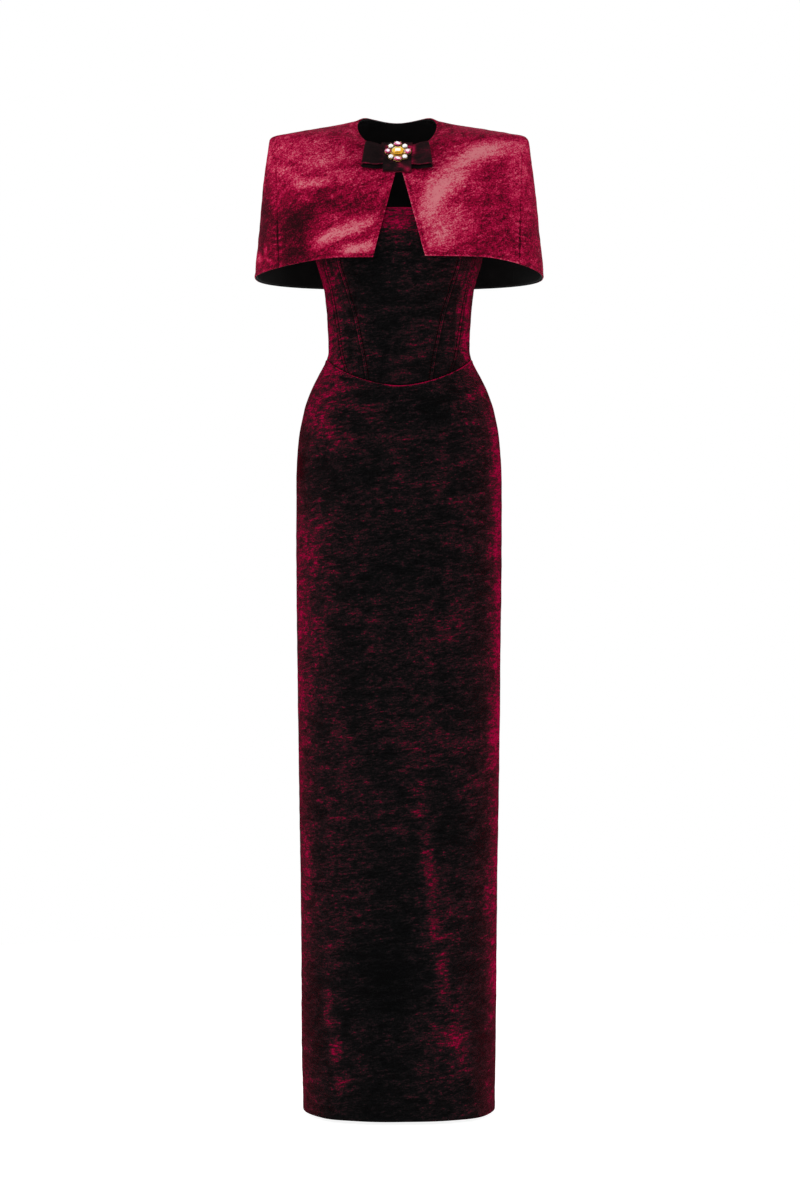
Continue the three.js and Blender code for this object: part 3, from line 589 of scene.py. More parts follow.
def capeFace(angle, down):
    angle, down = np.broadcast_arrays(np.asarray(angle, float), np.asarray(down, float))
    fall = capeFall(angle, down)
    radius, z = fall[..., 0], fall[..., 1]
    bust = np.where(np.cos(angle) > 0, gownRadius(angle, z) + capeOverBodice, 0.0)
    near = easedStep(necklineZ(angle) + 25 - z, 0, 40)
    apart = radius - bust
    soft = (radius + bust + np.sqrt(apart * apart + 1.0)) / 2
    point = aroundAxis(angle, np.maximum(radius, mixed(radius, soft, near)), z)
    point[..., 0] += neckShift * (1 - easedStep(down, 0, shoulderFall))
    return point


def atFrontEdge(down):
    slope = frontParting["hemX"] / (frontParting["meetZ"] - frontParting["hemZ"])
    angle = np.zeros_like(down)
    for _ in range(6):
        point = capeFace(angle, down)
        x = np.maximum(0, (frontParting["meetZ"] - point[..., 2]) * slope)
        angle = np.arcsin(np.minimum(1, x / np.hypot(point[..., 0], point[..., 1])))
    return angle


def atCapeSeam(down, onBack):
    below = down - shoulderFall
    line = mixed(capeSideSeam["topX"], capeSideSeam["hemX"], below / (1 - shoulderFall))

    def isShort(tried):
        return capeFace(backAngle - tried if onBack else tried, down)[..., 0] < line

    found = bisected(np.zeros_like(down), np.full_like(down, quarter), isShort)
    turned = mixed(quarter, found, easedStep(below, 0, capeSideSeam["settle"]))
    turned = np.where(below <= 0, quarter, turned)
    return backAngle - turned if onBack else turned


def placeOnCape(x, z):
    def downAt(angle):
        return bisected(np.zeros_like(x), np.ones_like(x), lambda down: capeFace(angle, down)[..., 2] > z, 25)

    widest = np.full_like(x, math.radians(80))
    angle = bisected(-widest, widest, lambda tried: capeFace(tried, downAt(tried))[..., 0] < x, 26)
    return angle, downAt(angle)


def onCape(x, z, lift):
    x, z, lift = np.broadcast_arrays(np.asarray(x, float), np.asarray(z, float), np.asarray(lift, float))
    angle, down = placeOnCape(x, z)
    return pushed(capeFace(angle, down), faceNormal(capeFace, angle, down, True), lift)


# Cloth

edgeLines = (0.0, 0.12, 0.35, 0.7, 1.1, 1.7, 2.6)


def edgedShares(length, cell, startLines=edgeLines, endLines=edgeLines):
    inner = max(2, round((length - startLines[-1] - endLines[-1]) / cell))
    middle = np.linspace(startLines[-1], length - endLines[-1], inner + 1)[1:-1]
    ends = [length - line for line in endLines][::-1]
    return np.concatenate([startLines, middle, ends]) / length


def latticeNoise(across, down, sizeAcross, sizeDown, seed):
    lattice = np.random.default_rng(seed).uniform(-1, 1, (97, 97))
    a, b = across / sizeAcross, down / sizeDown
    i, j = np.floor(a).astype(int), np.floor(b).astype(int)
    f, g = a - i, b - j
    f, g = f * f * (3 - 2 * f), g * g * (3 - 2 * g)
    top = mixed(lattice[i % 97, j % 97], lattice[(i + 1) % 97, j % 97], f)
    bottom = mixed(lattice[i % 97, (j + 1) % 97], lattice[(i + 1) % 97, (j + 1) % 97], f)
    return mixed(top, bottom, g)


# Each row is an amount, the size of a lump across and down, and its seed
def lumps(across, down, rows):
    return sum(amount * latticeNoise(across, down, *row) for amount, *row in rows)


def edgeDistances(points):
    across = np.linalg.norm(np.diff(points, axis=1), axis=-1)
    down = np.linalg.norm(np.diff(points, axis=0), axis=-1)
    fromStart = np.concatenate([np.zeros((points.shape[0], 1)), np.cumsum(across, 1)], 1)
    fromTop = np.concatenate([np.zeros((1, points.shape[1])), np.cumsum(down, 0)], 0)
    fromEnd = fromStart[:, -1:] - fromStart
    seam = np.minimum(fromStart, fromEnd)
    fromBottom = fromTop[-1:] - fromTop
    return {"start": fromStart, "end": fromEnd, "seam": seam, "top": fromTop, "bottom": fromBottom}


def bulge(distance, place, half):
    return np.exp(-((distance - place) / half) ** 2)


# Each row is an amount, the edge that it runs along, how far inside that edge, and a half width
def ridges(away, rows):
    return sum(amount * bulge(away[edge], place, half) for amount, edge, place, half in rows)


def rolled(distance, radius):
    inside = np.clip(1 - distance / radius, 0, 1)
    return radius * 0.78 * (1 - np.sqrt(1 - inside * inside))


# Soft patches of painted light and painted shade, each shown on the front or the back
def patches(points, spots):
    total = np.zeros(points.shape[:2])
    for x, z, wide, high, turn, amount, facing in spots:
        across = points[..., 0] - x
        up = points[..., 2] - z
        c, s = math.cos(math.radians(turn)), math.sin(math.radians(turn))
        along = (across * c + up * s) / wide
        away = (up * c - across * s) / high
        shown = easedStep(-points[..., 1] * facing, -30, 40)
        total += amount * shown * np.exp(-(along * along) ** 1.3 - (away * away) ** 1.3)
    return total


def declare(piece, node):
    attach(piece, "garment")
    if node:
        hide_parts(node)


# Flat width and length, and the area that shows, in metres
def cutOf(flat, area, held, restsOn):
    return {"flat": flat, "area": area, "held": held, "restsOn": [restsOn]}


def makeCloth(name, node, cut, outer, inner, pile, looks, turned=False):
    if turned:
        outer, inner, pile = outer[:, ::-1], inner[:, ::-1], pile[:, ::-1]
    rows, columns = outer.shape[:2]
    count = rows * columns
    index = np.arange(count).reshape(rows, columns)
    far = index + count

    def quads(a, b, c, d):
        return np.stack([a, b, c, d], -1).reshape(-1, 4)

    faces = [
        quads(index[:-1, :-1], index[1:, :-1], index[1:, 1:], index[:-1, 1:]),
        quads(far[:-1, :-1], far[:-1, 1:], far[1:, 1:], far[1:, :-1]),
        quads(index[:-1, 0], far[:-1, 0], far[1:, 0], index[1:, 0]),
        quads(index[:-1, -1], index[1:, -1], far[1:, -1], far[:-1, -1]),
        quads(index[0, :-1], index[0, 1:], far[0, 1:], far[0, :-1]),
        quads(index[-1, :-1], far[-1, :-1], far[-1, 1:], index[-1, 1:]),
    ]
    points = np.concatenate([outer.reshape(-1, 3), inner.reshape(-1, 3)]) * millimetre
    mesh = bpy.data.meshes.new(name)
    mesh.from_pydata(points.tolist(), [], np.concatenate(faces).tolist())
    mesh.polygons.foreach_set("use_smooth", np.ones(len(mesh.polygons), bool))
    inside = np.zeros(len(mesh.polygons), int)
    inside[len(faces[0]):len(faces[0]) + len(faces[1])] = 1
    mesh.materials.append(materials[looks[0]])
    if looks[1] != looks[0]:
        mesh.materials.append(materials[looks[1]])
        mesh.polygons.foreach_set("material_index", inside)
    values = mesh.attributes.new("pile", "FLOAT", "POINT")
    values.data.foreach_set("value", np.concatenate([pile.ravel(), pile.ravel()]))
    wide, long = cut["flat"]
    u, v = np.meshgrid(np.linspace(0, wide, columns), np.linspace(long, 0, rows))
    flat = np.concatenate([np.stack([u, v], -1).reshape(-1, 2)] * 2)
    corners = np.empty(len(mesh.loops), int)
    mesh.loops.foreach_get("vertex_index", corners)
    layer = mesh.uv_layers.new(name="clothLay")
    layer.data.foreach_set("uv", flat[corners].ravel())
    mesh.update()
    piece = bpy.data.objects.new(name, mesh)
    bpy.context.scene.collection.objects.link(piece)
    declare(piece, node)


# Gown panels

gown = {
    "overlap": 0.06 / 130,  # the angle by which each panel laps the next
    "seamRoll": 1.26,
    "seamRelief": ((-0.35, "seam", 0, 2.2), (0.3, "seam", 3.2, 1.5)),
    "seamPile": ((-0.6, "seam", 0, 1.0),),
    "channel": 5.8,  # from a boned seam to its line of stitches
    "channelRows": (-2.2, -1.3, -0.7, -0.3, 0.0, 0.3, 0.7, 1.3, 2.2),
    "tuck": 3.0,  # how far the bodice's lower edge turns in behind the skirt's top
    "tuckLength": 2.2,
    "brightest": 0.58,
}
gownLooks = ("gownVelvet", "blackSatin")

# Painted highlights and painted shade on the gown, where its rims, folds and bust would catch the light or
# lose it: x, z, half width, half height, turn, amount, and 1 for the front or -1 for the back
gownPaintedLightAndShade = [
    (-96, -62, 30, 26, 52, 0.30, 1), (-122, -118, 20, 44, 30, 0.30, 1), (-128, -240, 18, 60, 0, 0.18, 1),
    (146, -150, 9, 90, 0, 0.30, 1), (126, -66, 9, 34, -60, 0.24, 1), (156, -400, 8, 360, 0, 0.44, 1),
    (-154, -420, 7, 200, 0, 0.12, 1), (-112, -400, 24, 230, 0, 0.11, 1), (0, 182, 46, 15, 0, 0.80, 1),
    (-4, 203, 36, 5, 0, 0.45, 1), (0, 60, 60, 80, 0, -0.07, 1), (-154, -180, 9, 24, 0, -0.75, 1),
    (-104, 60, 20, 120, 0, 0.52, 1), (103, 60, 15, 120, 0, 0.28, 1), (-146, -420, 20, 150, 0, 0.06, 1),
    (148, -420, 12, 200, 0, 0.10, 1), (148, -575, 11, 44, 0, 0.42, 1), (142, -815, 13, 38, 0, 0.42, 1),
    (147, -975, 9, 40, 0, 0.26, 1), (-146, -900, 18, 230, 0, 0.03, 1), (148, -800, 12, 230, 0, 0.14, 1),
    (34, -700, 12, 60, 14, 0.18, 1), (45, -795, 9, 42, 10, 0.30, 1), (51, -870, 8, 24, 0, 0.22, 1),
    (66, -955, 11, 34, 8, 0.36, 1), (64, -850, 24, 200, 10, 0.08, 1), (90, -1037, 15, 22, 20, 0.28, 1),
    (96, -1075, 13, 30, 0, 0.20, 1), (-107, -1005, 9, 26, 0, 0.46, 1), (-96, -1058, 10, 28, 0, 0.40, 1),
    (-88, -1116, 15, 14, 0, 0.42, 1), (-141, -795, 9, 50, 0, 0.38, 1), (-14, -1000, 42, 230, 2, -0.18, 1),
    (-60, -85, 40, 60, 20, 0.30, -1), (90, -140, 30, 60, -20, 0.28, -1), (10, -240, 70, 40, 0, -0.10, -1),
    (60, -600, 22, 220, 6, 0.24, -1), (-80, -850, 20, 240, -6, 0.26, -1),
    (0, -900, 40, 200, 0, -0.10, -1), (0, 150, 70, 24, 0, 0.40, -1), (-70, 60, 26, 90, 0, 0.28, -1),
    (75, 50, 24, 90, 0, 0.28, -1),
]


def gownRelief(angle, z):
    across = angle * middleRadius
    skirtShare = easedStep(-30 - z, 0, 60)
    everywhere = lumps(across, z, ((0.34, 26, 9, 11), (0.22, 13, 6, 12), (0.1575, 42, 26, 14)))
    return everywhere + skirtShare * lumps(across, z, ((0.9, 75, 150, 13), (0.2925, 42, 26, 14)))


def gownPanel(name, node, side, fromSeam, toSeam, spec, cut, channels=()):
    def heightAt(angle, shares):
        return mixed(spec["top"](angle), spec["bottom"](angle), shares)

    at = gown["channel"]
    channelLines = edgeLines + tuple(at + step for step in gown["channelRows"])
    lines = [channelLines if edge in channels else edgeLines for edge in ("start", "end")]
    shares = edgedShares(spec["length"], spec["cell"], edgeLines, spec["endRows"])
    columns = edgedShares(cut["flat"][0] * 1000, spec["cell"], *lines)
    start, end = (seam(heightAt, shares)[:, None] for seam in (fromSeam, toSeam))
    angle = mixed(start - gown["overlap"], end + gown["overlap"], columns[None, :]) * side
    z = heightAt(angle, shares[:, None])
    base = spec["face"](angle, z)
    normal = faceNormal(spec["face"], angle, z, False)
    away = edgeDistances(base)
    sideways = np.abs(np.sin(angle))
    nearSeam = rolled(away["start"], gown["seamRoll"]) + rolled(away["end"], gown["seamRoll"])
    nearEdge = np.maximum(rolled(away[spec["free"]], spec["thick"] / 2), rolled(away[spec["waist"]], 0.5))
    inset = np.minimum(np.maximum(nearEdge, nearSeam), spec["thick"] * 0.4)
    relief = gownRelief(angle, z)
    relief *= np.clip(away["top"] / 10, 0.15, 1) * np.clip(away["bottom"] / 10, 0.3, 1)
    relief *= np.clip(away["seam"] / 6, 0.1, 1)
    relief += ridges(away, gown["seamRelief"] + spec["relief"])
    # Painted sheen on the sides, where the velvet would catch the side light, plus the gown's painted
    # highlights and shade; bright values are capped softly.
    pile = patches(base, gownPaintedLightAndShade) + spec["flank"] * easedStep(sideways, 0.83, 0.99)
    pile = np.where(pile > 0, gown["brightest"] * np.tanh(pile / gown["brightest"]), pile)
    # Painted shade in the seam grooves, and the piece's own rows of painted highlight and shade along its
    # edges.
    pile += ridges(away, gown["seamPile"] + spec["pile"])
    for edge in channels:
        relief += ridges(away, ((-0.75, edge, at, 0.6), (0.3, edge, at - 2.6, 1.6)))
        # A painted highlight on the channel's lip, painted shade in its groove, and a painted bright line
        # beside the seam.
        pile += ridges(away, ((0.42, edge, at - 1.0, 0.6), (-0.55, edge, at + 0.4, 1.0)))
        pile += 0.3 * bulge(away[edge], 1.4, 0.7)
    if spec is bodiceSpec:
        upright = latticeNoise(angle * middleRadius, z, 4.5, 60, 22)
        pile += 0.16 * upright * easedStep(sideways, 0.6, 0.8)
        relief += bulge(away["bottom"], 4, 6) * easedStep(sideways, 0.7, 0.95)
        base = pushed(base, normal, -gown["tuck"] * easedStep(waistSeamZ(angle) + 0.1 - z, 0, 1.3))
    else:
        # A painted highlight on the skirt's rolled top edge, where the fold would catch the light, patchy and
        # strongest near the middle and the right.
        shownX = base[..., 0] * (np.cos(angle) > 0)
        patchy = 0.25 + 0.25 * latticeNoise(angle * middleRadius, 0 * z, 22, 10, 21)
        patchy += 0.75 * bulge(shownX, 12, 42) + 0.45 * bulge(shownX, 95, 25)
        pile += spec["lip"] * patchy * bulge(away["top"], 0.6, 1.3)
    outer = pushed(base, normal, relief - inset)
    inner = pushed(base, normal, relief * 0.6 - spec["thick"] + inset)
    makeCloth(name, node, cut, outer, inner, pile, gownLooks, side < 0)


# The rows of relief and of painted highlight and shade are read by ridges
bodiceSpec = {
    "length": 230,
    "cell": 3.2,
    "thick": 2.5,
    "face": gownFace,
    "top": necklineZ,
    "bottom": lambda angle: waistSeamZ(angle) - gown["tuckLength"],
    "endRows": (0.0, 0.3, 0.8, 1.1, 1.4, 1.7, 1.9, 2.1, 2.3, 2.5, 2.9, 3.8, 5.2),
    "free": "top",
    "waist": "bottom",
    "flank": 0.24,
    "relief": ((0.5, "top", 2, 2.2), (-0.3, "top", 7, 1.4)),
    # A painted highlight along the neckline fold and painted shade just above the waist seam
    "pile": ((0.55, "top", 0.4, 1.3), (-0.6, "bottom", 2.4, 1.6)),
}
skirtSpec = {
    "length": 1140,
    "cell": 4.0,
    "thick": 2.0,
    "face": skirtFace,
    "top": lambda angle: waistSeamZ(angle) - 0.1,
    "bottom": lambda angle: hemZ + 0 * angle,
    "endRows": edgeLines,
    "free": "bottom",
    "waist": "top",
    "lip": 0.95,
    "flank": 0.22,
    "relief": (
        (0.9, "top", 2.4, 2.2), (-0.4, "top", 6.5, 2.5), (0.35, "bottom", 3, 3), (-0.35, "bottom", 32, 2.5),
    ),
    "pile": (),
}
gownCuts = {
    "bodiceCentre": cutOf((0.205, 0.285), 0.0420, "stretched", "skirtFrontCloth"),
    "bodiceSideFront": cutOf((0.065, 0.270), 0.0108, "stretched", "skirtFrontCloth"),
    "bodiceSide": cutOf((0.160, 0.240), 0.0366, "stretched", "skirtFrontCloth"),
    "bodiceBack": cutOf((0.095, 0.225), 0.0165, "stretched", "skirtFrontCloth"),
    "skirtFront": cutOf((0.430, 1.190), 0.485, "hung", "bodiceCentreCloth"),
    "skirtBack": cutOf((0.218, 1.180), 0.254, "hung", "bodiceCentreCloth"),
}


def buildGown():
    def across(part, node, seam, spec):
        def farSeam(heightAt, shares):
            return -seam(heightAt, shares)

        gownPanel(part + "Cloth", node, 1, farSeam, seam, spec, gownCuts[part])

    pairs = [
        ("bodiceSideFront", "bodice_side_front_", atPrincess, atSideFront, bodiceSpec, ("start",)),
        ("bodiceSide", "bodice_side_", atSideFront, atSideBack, bodiceSpec, ("start", "end")),
        ("bodiceBack", "bodice_back_", atSideBack, atCentreBack, bodiceSpec, ("end",)),
        ("skirtBack", "skirt_back_", atSide, atCentreBack, skirtSpec, ()),
    ]
    across("bodiceCentre", "bodice_centre_front", atPrincess, bodiceSpec)
    for word, side in (("left", 1), ("right", -1)):
        for part, node, start, end, spec, channels in pairs:
            name = part + word.capitalize()
            gownPanel(name, node + word, side, start, end, spec, gownCuts[part], channels)
    across("skirtFront", "skirt_front", atSide, skirtSpec)


buildGown()
print("gown ready")


# Cape panels

def frontSeam(down):
    return atCapeSeam(down, False)


def backSeam(down):
    return atCapeSeam(down, True)


def farBackSeam(down):
    return 2 * backAngle - backSeam(down)


cape = {
    "thick": 2.0, "liningThick": 1.0, "liningGap": 0.3, "cell": 3.4, "liningCell": 6.0,
    "facing": 3.0,  # the lining starts this far inside the hem
    "overlap": 0.06 / 200,  # the angle by which each panel laps the next
    "fall": 360,  # from neck to hem along the cloth
    "pucker": 0.55, "shine": 1.18, "edgeRelief": ((0.45, 1.5, 2.4), (-0.35, 9, 2.2)),
    "edgePile": ((-0.10, 4.5, 2.0), (0.08, 9, 3.0)),
}
capePanels = {
    "front": {
        "rows": (0.0, 1.0),
        "size": (300, 215),
        "between": (atFrontEdge, frontSeam),
        "seams": ("end",),
        "free": ("start", "top", "bottom"),
        "cut": cutOf((0.260, 0.320), 0.046, "draped", "bodiceCentreCloth"),
    },
    "side": {
        "rows": (0.404, 1.0),
        "size": (225, 170),
        "between": (frontSeam, backSeam),
        "seams": ("start", "end"),
        "free": ("bottom",),
        "cut": cutOf((0.180, 0.230), 0.032, "hung", "capeBackCloth"),
    },
    "back": {
        "rows": (0.0, 1.0),
        "size": (330, 480),
        "between": (backSeam, farBackSeam),
        "seams": ("start", "end"),
        "free": ("top", "bottom"),
        "cut": cutOf((0.500, 0.330), 0.116, "hung", "bodiceBackLeft"),
    },
}

# Painted highlights and painted shade on the cape: x, z, half width, half height, turn, amount, and 1 for the
# front or -1 for the back
capePaintedLightAndShade = [
    (-172, 262, 34, 9, -34, 0.20, 1), (-118, 248, 44, 9, 12, 0.24, 1), (-150, 286, 50, 10, -20, 0.12, 1),
    (-96, 282, 46, 9, 8, 0.12, 1), (-150, 306, 70, 16, -8, 0.16, 1), (-96, 162, 50, 11, 26, 0.46, 1),
    (-62, 142, 30, 9, 14, 0.42, 1), (-120, 150, 26, 6, 40, 0.16, 1), (-52, 176, 22, 9, 40, 0.18, 1),
    (-70, 214, 36, 13, 12, -0.16, 1), (-165, 178, 34, 34, 50, -0.38, 1),
    (-130, 204, 40, 13, 34, -0.20, 1), (-150, 135, 40, 14, 16, -0.30, 1),
    (-210, 190, 15, 70, 0, -0.30, 1), (-214, 136, 5, 12, 12, 0.38, 1), (-203, 146, 3, 13, 4, 0.40, 1),
    (-196, 128, 9, 3, -24, 0.24, 1), (-207, 250, 3, 20, 8, 0.22, 1), (-200, 292, 4, 12, 8, 0.22, 1),
    (212, 200, 14, 90, 0, -0.06, 1), (46, 208, 18, 34, -20, 0.42, 1), (62, 160, 22, 24, -30, 0.28, 1),
    (76, 246, 34, 16, 34, 0.34, 1), (104, 284, 50, 14, 22, 0.34, 1), (150, 302, 56, 16, 6, 0.26, 1),
    (140, 240, 70, 70, 0, 0.05, 1), (84, 190, 30, 26, -20, 0.16, 1), (150, 150, 40, 22, 0, -0.10, 1),
    (178, 250, 14, 40, 0, 0.10, 1), (-90, 250, 70, 26, 24, 0.30, -1), (80, 180, 60, 30, -18, 0.34, -1),
    (10, 290, 90, 20, 0, 0.24, -1), (-120, 150, 50, 22, 10, -0.16, -1), (130, 280, 40, 20, -20, 0.20, -1),
]


def capeRelief(angle, down):
    length = down * cape["fall"]
    across = angle * 190
    waves = lumps(across, length, ((0.9, 90, 70, 33), (0.5, 40, 34, 34)))
    return lumps(across, length, ((0.3, 22, 12, 31), (0.22, 11, 7, 32))) + waves * easedStep(down, 0.05, 0.3)


def capeGrid(panel, side, cell, lines=edgeLines):
    first, last = panel["rows"]
    length, wide = panel["size"]
    rows = first + (last - first) * edgedShares(length, cell, lines, lines)
    columns = edgedShares(wide, cell, lines, lines)
    start, end = (seam(rows)[:, None] for seam in panel["between"])
    angle = mixed(start - cape["overlap"], end + cape["overlap"], columns[None, :]) * side
    down = np.broadcast_to(rows[:, None], angle.shape)
    return angle, down, capeFace(angle, down), faceNormal(capeFace, angle, down, True)


def capePanel(name, node, side, panel, paintedEdgeHighlight):
    angle, down, base, normal = capeGrid(panel, side, cape["cell"])
    away = edgeDistances(base)
    thick, length = cape["thick"], down * cape["fall"]
    relief = capeRelief(angle, down)
    # Painted highlights and painted shade on the cape, scaled as a whole.
    pile = cape["shine"] * patches(base, capePaintedLightAndShade)
    inset = np.zeros_like(relief)
    uneven = 0.55 + 0.65 * latticeNoise(length, 0 * length, 34, 10, 35)
    ripple = uneven * np.sin(length * 0.47 + 2.6 * np.sin(length * 0.083))
    hanging = easedStep(down, 0.42, 0.5)
    for edge in panel["seams"]:
        inset = np.maximum(inset, rolled(away[edge], 1.3))
        bunch = ripple * bulge(away[edge], 5, 6)
        relief += (cape["pucker"] * bunch - 0.9 * bulge(away[edge], 0, 2.0)) * hanging
        # Painted shade in the seam, a painted highlight beside it, and painted light on the puckers.
        shade = ridges(away, ((-0.34, edge, 0, 1.6), (0.14, edge, 4.5, 1.6)))
        pile += (0.20 * bunch + uneven * shade) * hanging
    for edge in panel["free"]:
        inset = np.maximum(inset, rolled(away[edge], thick / 2))
        relief *= np.clip(away[edge] / 8, 0.25, 1)
        relief += ridges(away, [(amount, edge, *where) for amount, *where in cape["edgeRelief"]])
        # Painted shade and a highlight beside each rolled free edge, and a painted highlight along the edge
        # itself, stronger on the left front.
        pile += ridges(away, [(amount, edge, *where) for amount, *where in cape["edgePile"]])
        pile += paintedEdgeHighlight * bulge(away[edge], 0.4, 1.2)
    inset = np.minimum(inset, thick * 0.4)
    outer = pushed(base, normal, relief - inset)
    inner = pushed(base, normal, relief * 0.5 - thick + inset)
    makeCloth(name, node, panel["cut"], outer, inner, pile, ("capeVelvet", "blackSatin"), side < 0)
    liningPanel(name, node, side, panel)


def liningPanel(name, node, side, panel):
    angle, down, base, normal = capeGrid(panel, side, cape["liningCell"], (0.0, 0.6))
    relief = 0.5 * capeRelief(angle, down) - cape["thick"] - cape["liningGap"]
    outer = pushed(base, normal, relief)
    inner = pushed(base, normal, relief - cape["liningThick"])
    for grid in (outer, inner):
        grid[-1] += (grid[-3] - grid[-1]) * cape["facing"] / 9
        grid[-2] = mixed(grid[-1], grid[-3], 0.3)
        if panel is capePanels["front"]:
            grid[:, 0] = mixed(grid[:, 0], grid[:, 2], 0.4)
            grid[:, 1] = mixed(grid[:, 0], grid[:, 2], 0.3)
    cut = dict(panel["cut"], held="hung", restsOn=[name])
    name = name.replace("cape", "capeLining")
    node = node.replace("cape_", "cape_lining_")
    makeCloth(name, node, cut, outer, inner, 0 * angle, ("blackSatin", "blackSatin"), side < 0)


def buildCape():
    for word, side, paintedEdgeHighlight in (("left", 1, 0.20), ("right", -1, 0.04)):
        capePanel("capeFront" + word.capitalize(), "cape_front_" + word, side, capePanels["front"], paintedEdgeHighlight)
        capePanel("capeSide" + word.capitalize(), "cape_side_" + word, side, capePanels["side"], 0.0)
    capePanel("capeBackCloth", "cape_back", 1, capePanels["back"], 0.03)


buildCape()
print("cape ready")


# Bow

bow = {
    "x": -3, "innerX": 18, "topX": 49.4, "bottomX": 54.9, "topZ": 305.5, "backBottomZ": 265,
    "frontBottomZ": 269.5, "ribbon": 1.2, "lift": 0.9, "hollow": 2.2, "pinch": 1.9, "spring": 4,
    "cover": (0.16, 0.5), "gather": 0.45, "rows": (0.0, 0.1, 0.3, 0.6, 1.0),
    "looks": ("bowVelvet", "bowVelvet"),
    "cut": cutOf((0.088, 0.040), 0.0034, "folded", "capeFrontLeft"),
}
knot = {
    "half": 22, "topZ": 306, "bottomZ": 261, "band": 1.3, "lift": 0.5, "depth": 7.6,
    "corner": 2.2, "innerCorner": 0.8, "columns": (0.0, 0.15, 0.4, 0.8),
    "glints": [
        (10, 268, 15, 7, -20, 0.34, 1), (16, 301, 8, 4, -20, 0.60, 1), (-17, 301, 5, 5, 0, 0.30, 1),
    ],
    "cut": cutOf((0.068, 0.045), 0.0030, "folded", "capeFrontLeft"),
}


def bowLoop(name, node, side):
    full = bow["ribbon"] + bow["hollow"] / 2
    straight = np.linspace(0, 1, 22)
    turns = np.radians(np.linspace(0, 180, 11)[1:-1])
    along = np.concatenate([straight, np.ones(len(turns)), straight[::-1]])
    turn = np.concatenate([np.zeros(22), turns, np.full(22, np.pi)])
    downs = edgedShares(38, 1.4, bow["rows"], bow["rows"])[:, None]
    bottomZ = mixed(bow["backBottomZ"], bow["frontBottomZ"], 1 - turn / np.pi)
    pinch = bow["pinch"] * (1 - easedStep(along, *bow["cover"]))
    z = mixed(bow["topZ"] - pinch, bottomZ + pinch, downs)
    endX = mixed(bow["topX"], bow["bottomX"], downs) - full
    middle = bow["lift"] + full + bow["spring"] * easedStep(along, bow["cover"][0], 1)
    fromEdge = np.minimum(downs, 1 - downs) * 38
    gathers = np.sin(downs * 21 + side) * 0.6 + np.sin(downs * 9 + 2 * side) * 0.4
    relief = bow["gather"] * gathers * (1 - easedStep(along, 0.3, 1.0)) * np.clip(fromEdge / 3, 0, 1)
    edge = rolled(fromEdge + 0 * along, bow["ribbon"] / 2)

    def layer(inset):
        radius = full - inset
        x = mixed(bow["innerX"], endX, along) + radius * np.sin(turn)
        return onCape(bow["x"] + side * x, z, middle + (radius + relief) * np.cos(turn))

    outer, inner = layer(edge), layer(bow["ribbon"] - edge)
    # A painted highlight along the front layer's lower edge and where each loop meets the knot, painted
    # highlights on the left loop, and painted shade on the back layer, which faces away from the light.
    lip = bulge(fromEdge, 0.5, 1.0) * easedStep(downs, 0.5, 0.6)
    out = along * 40
    pile = 0.40 * lip - 0.06
    if side > 0:
        pile = 0.26 * lip + 0.09 + 0.50 * bulge(out, 9, 5) * bulge(downs, 0.28, 0.26)
        pile = pile + 0.22 * bulge(out, 6, 6) * bulge(downs, 0.85, 0.16)
    pile = np.where(turn < 1, pile, -0.35) + 0.18 * bulge(out, 2, 6)
    makeCloth(name, node, bow["cut"], outer, inner, pile, bow["looks"], side < 0)


def knotLayer(columns, inset, corner):
    half = knot["half"]
    topZ = knot["topZ"] - inset
    bottomZ = knot["bottomZ"] + inset
    depth = knot["depth"] - inset
    bend = np.radians(np.linspace(0, 90, 7))
    z = np.concatenate([
        [bottomZ],
        bottomZ + corner * (1 - np.cos(bend)),
        np.linspace(bottomZ + corner, topZ - corner, 30)[1:-1],
        topZ - corner * (1 - np.sin(bend)),
        [topZ],
    ])
    lift = np.concatenate([
        [knot["lift"]],
        depth - corner * (1 - np.sin(bend)),
        np.full(28, depth),
        depth - corner * (1 - np.cos(bend)),
        [knot["lift"]],
    ])
    across, up = np.meshgrid(mixed(-half, half, columns), z)
    share = (up - bottomZ) / (topZ - bottomZ)
    higher = up - (topZ + bottomZ) / 2
    fold = np.sin(higher * 0.42 + across * 0.30) * 0.5 + np.sin(higher * 0.23 - across * 0.38) * 0.5
    sides = np.clip((half - np.abs(across)) / 3, 0, 1)
    crease = 0.8 * fold * sides * np.sin(np.pi * np.clip(share, 0, 1))
    return onCape(bow["x"] + across, up, lift[:, None] + crease), fold


def bowKnot():
    columns = edgedShares(44, 1.3, knot["columns"], knot["columns"])
    outer, fold = knotLayer(columns, 0, knot["corner"])
    inner, _ = knotLayer(columns, knot["band"], knot["innerCorner"])
    # Painted highlights and painted shade following the creases of the knot, and the painted glints.
    pile = 0.16 * fold + patches(outer, knot["glints"])
    outer, inner, pile = outer[::-1], inner[::-1], pile[::-1]
    makeCloth("bowKnotCloth", "bow_knot", knot["cut"], outer, inner, pile, bow["looks"])


bowLoop("bowLoopLeft", "bow_loop_left", 1)
bowLoop("bowLoopRight", "bow_loop_right", -1)
bowKnot()
print("bow ready")


# Brooch, modelled flat in millimetres, then laid on the knot

brooch = {
    "x": -1.8, "z": 288.3, "standOff": 0.6, "ring": 14.9, "flatten": 0.95, "plate": 1.4,
    "plateRadius": 11.5, "clearance": 0.15, "colletWall": 0.45, "colletHeight": 0.8,
    "colletRound": 0.16,
    "footing": 0.4,  # how deep a collet stands in the plate
    "prong": 0.6, "corner": 3.5,
}
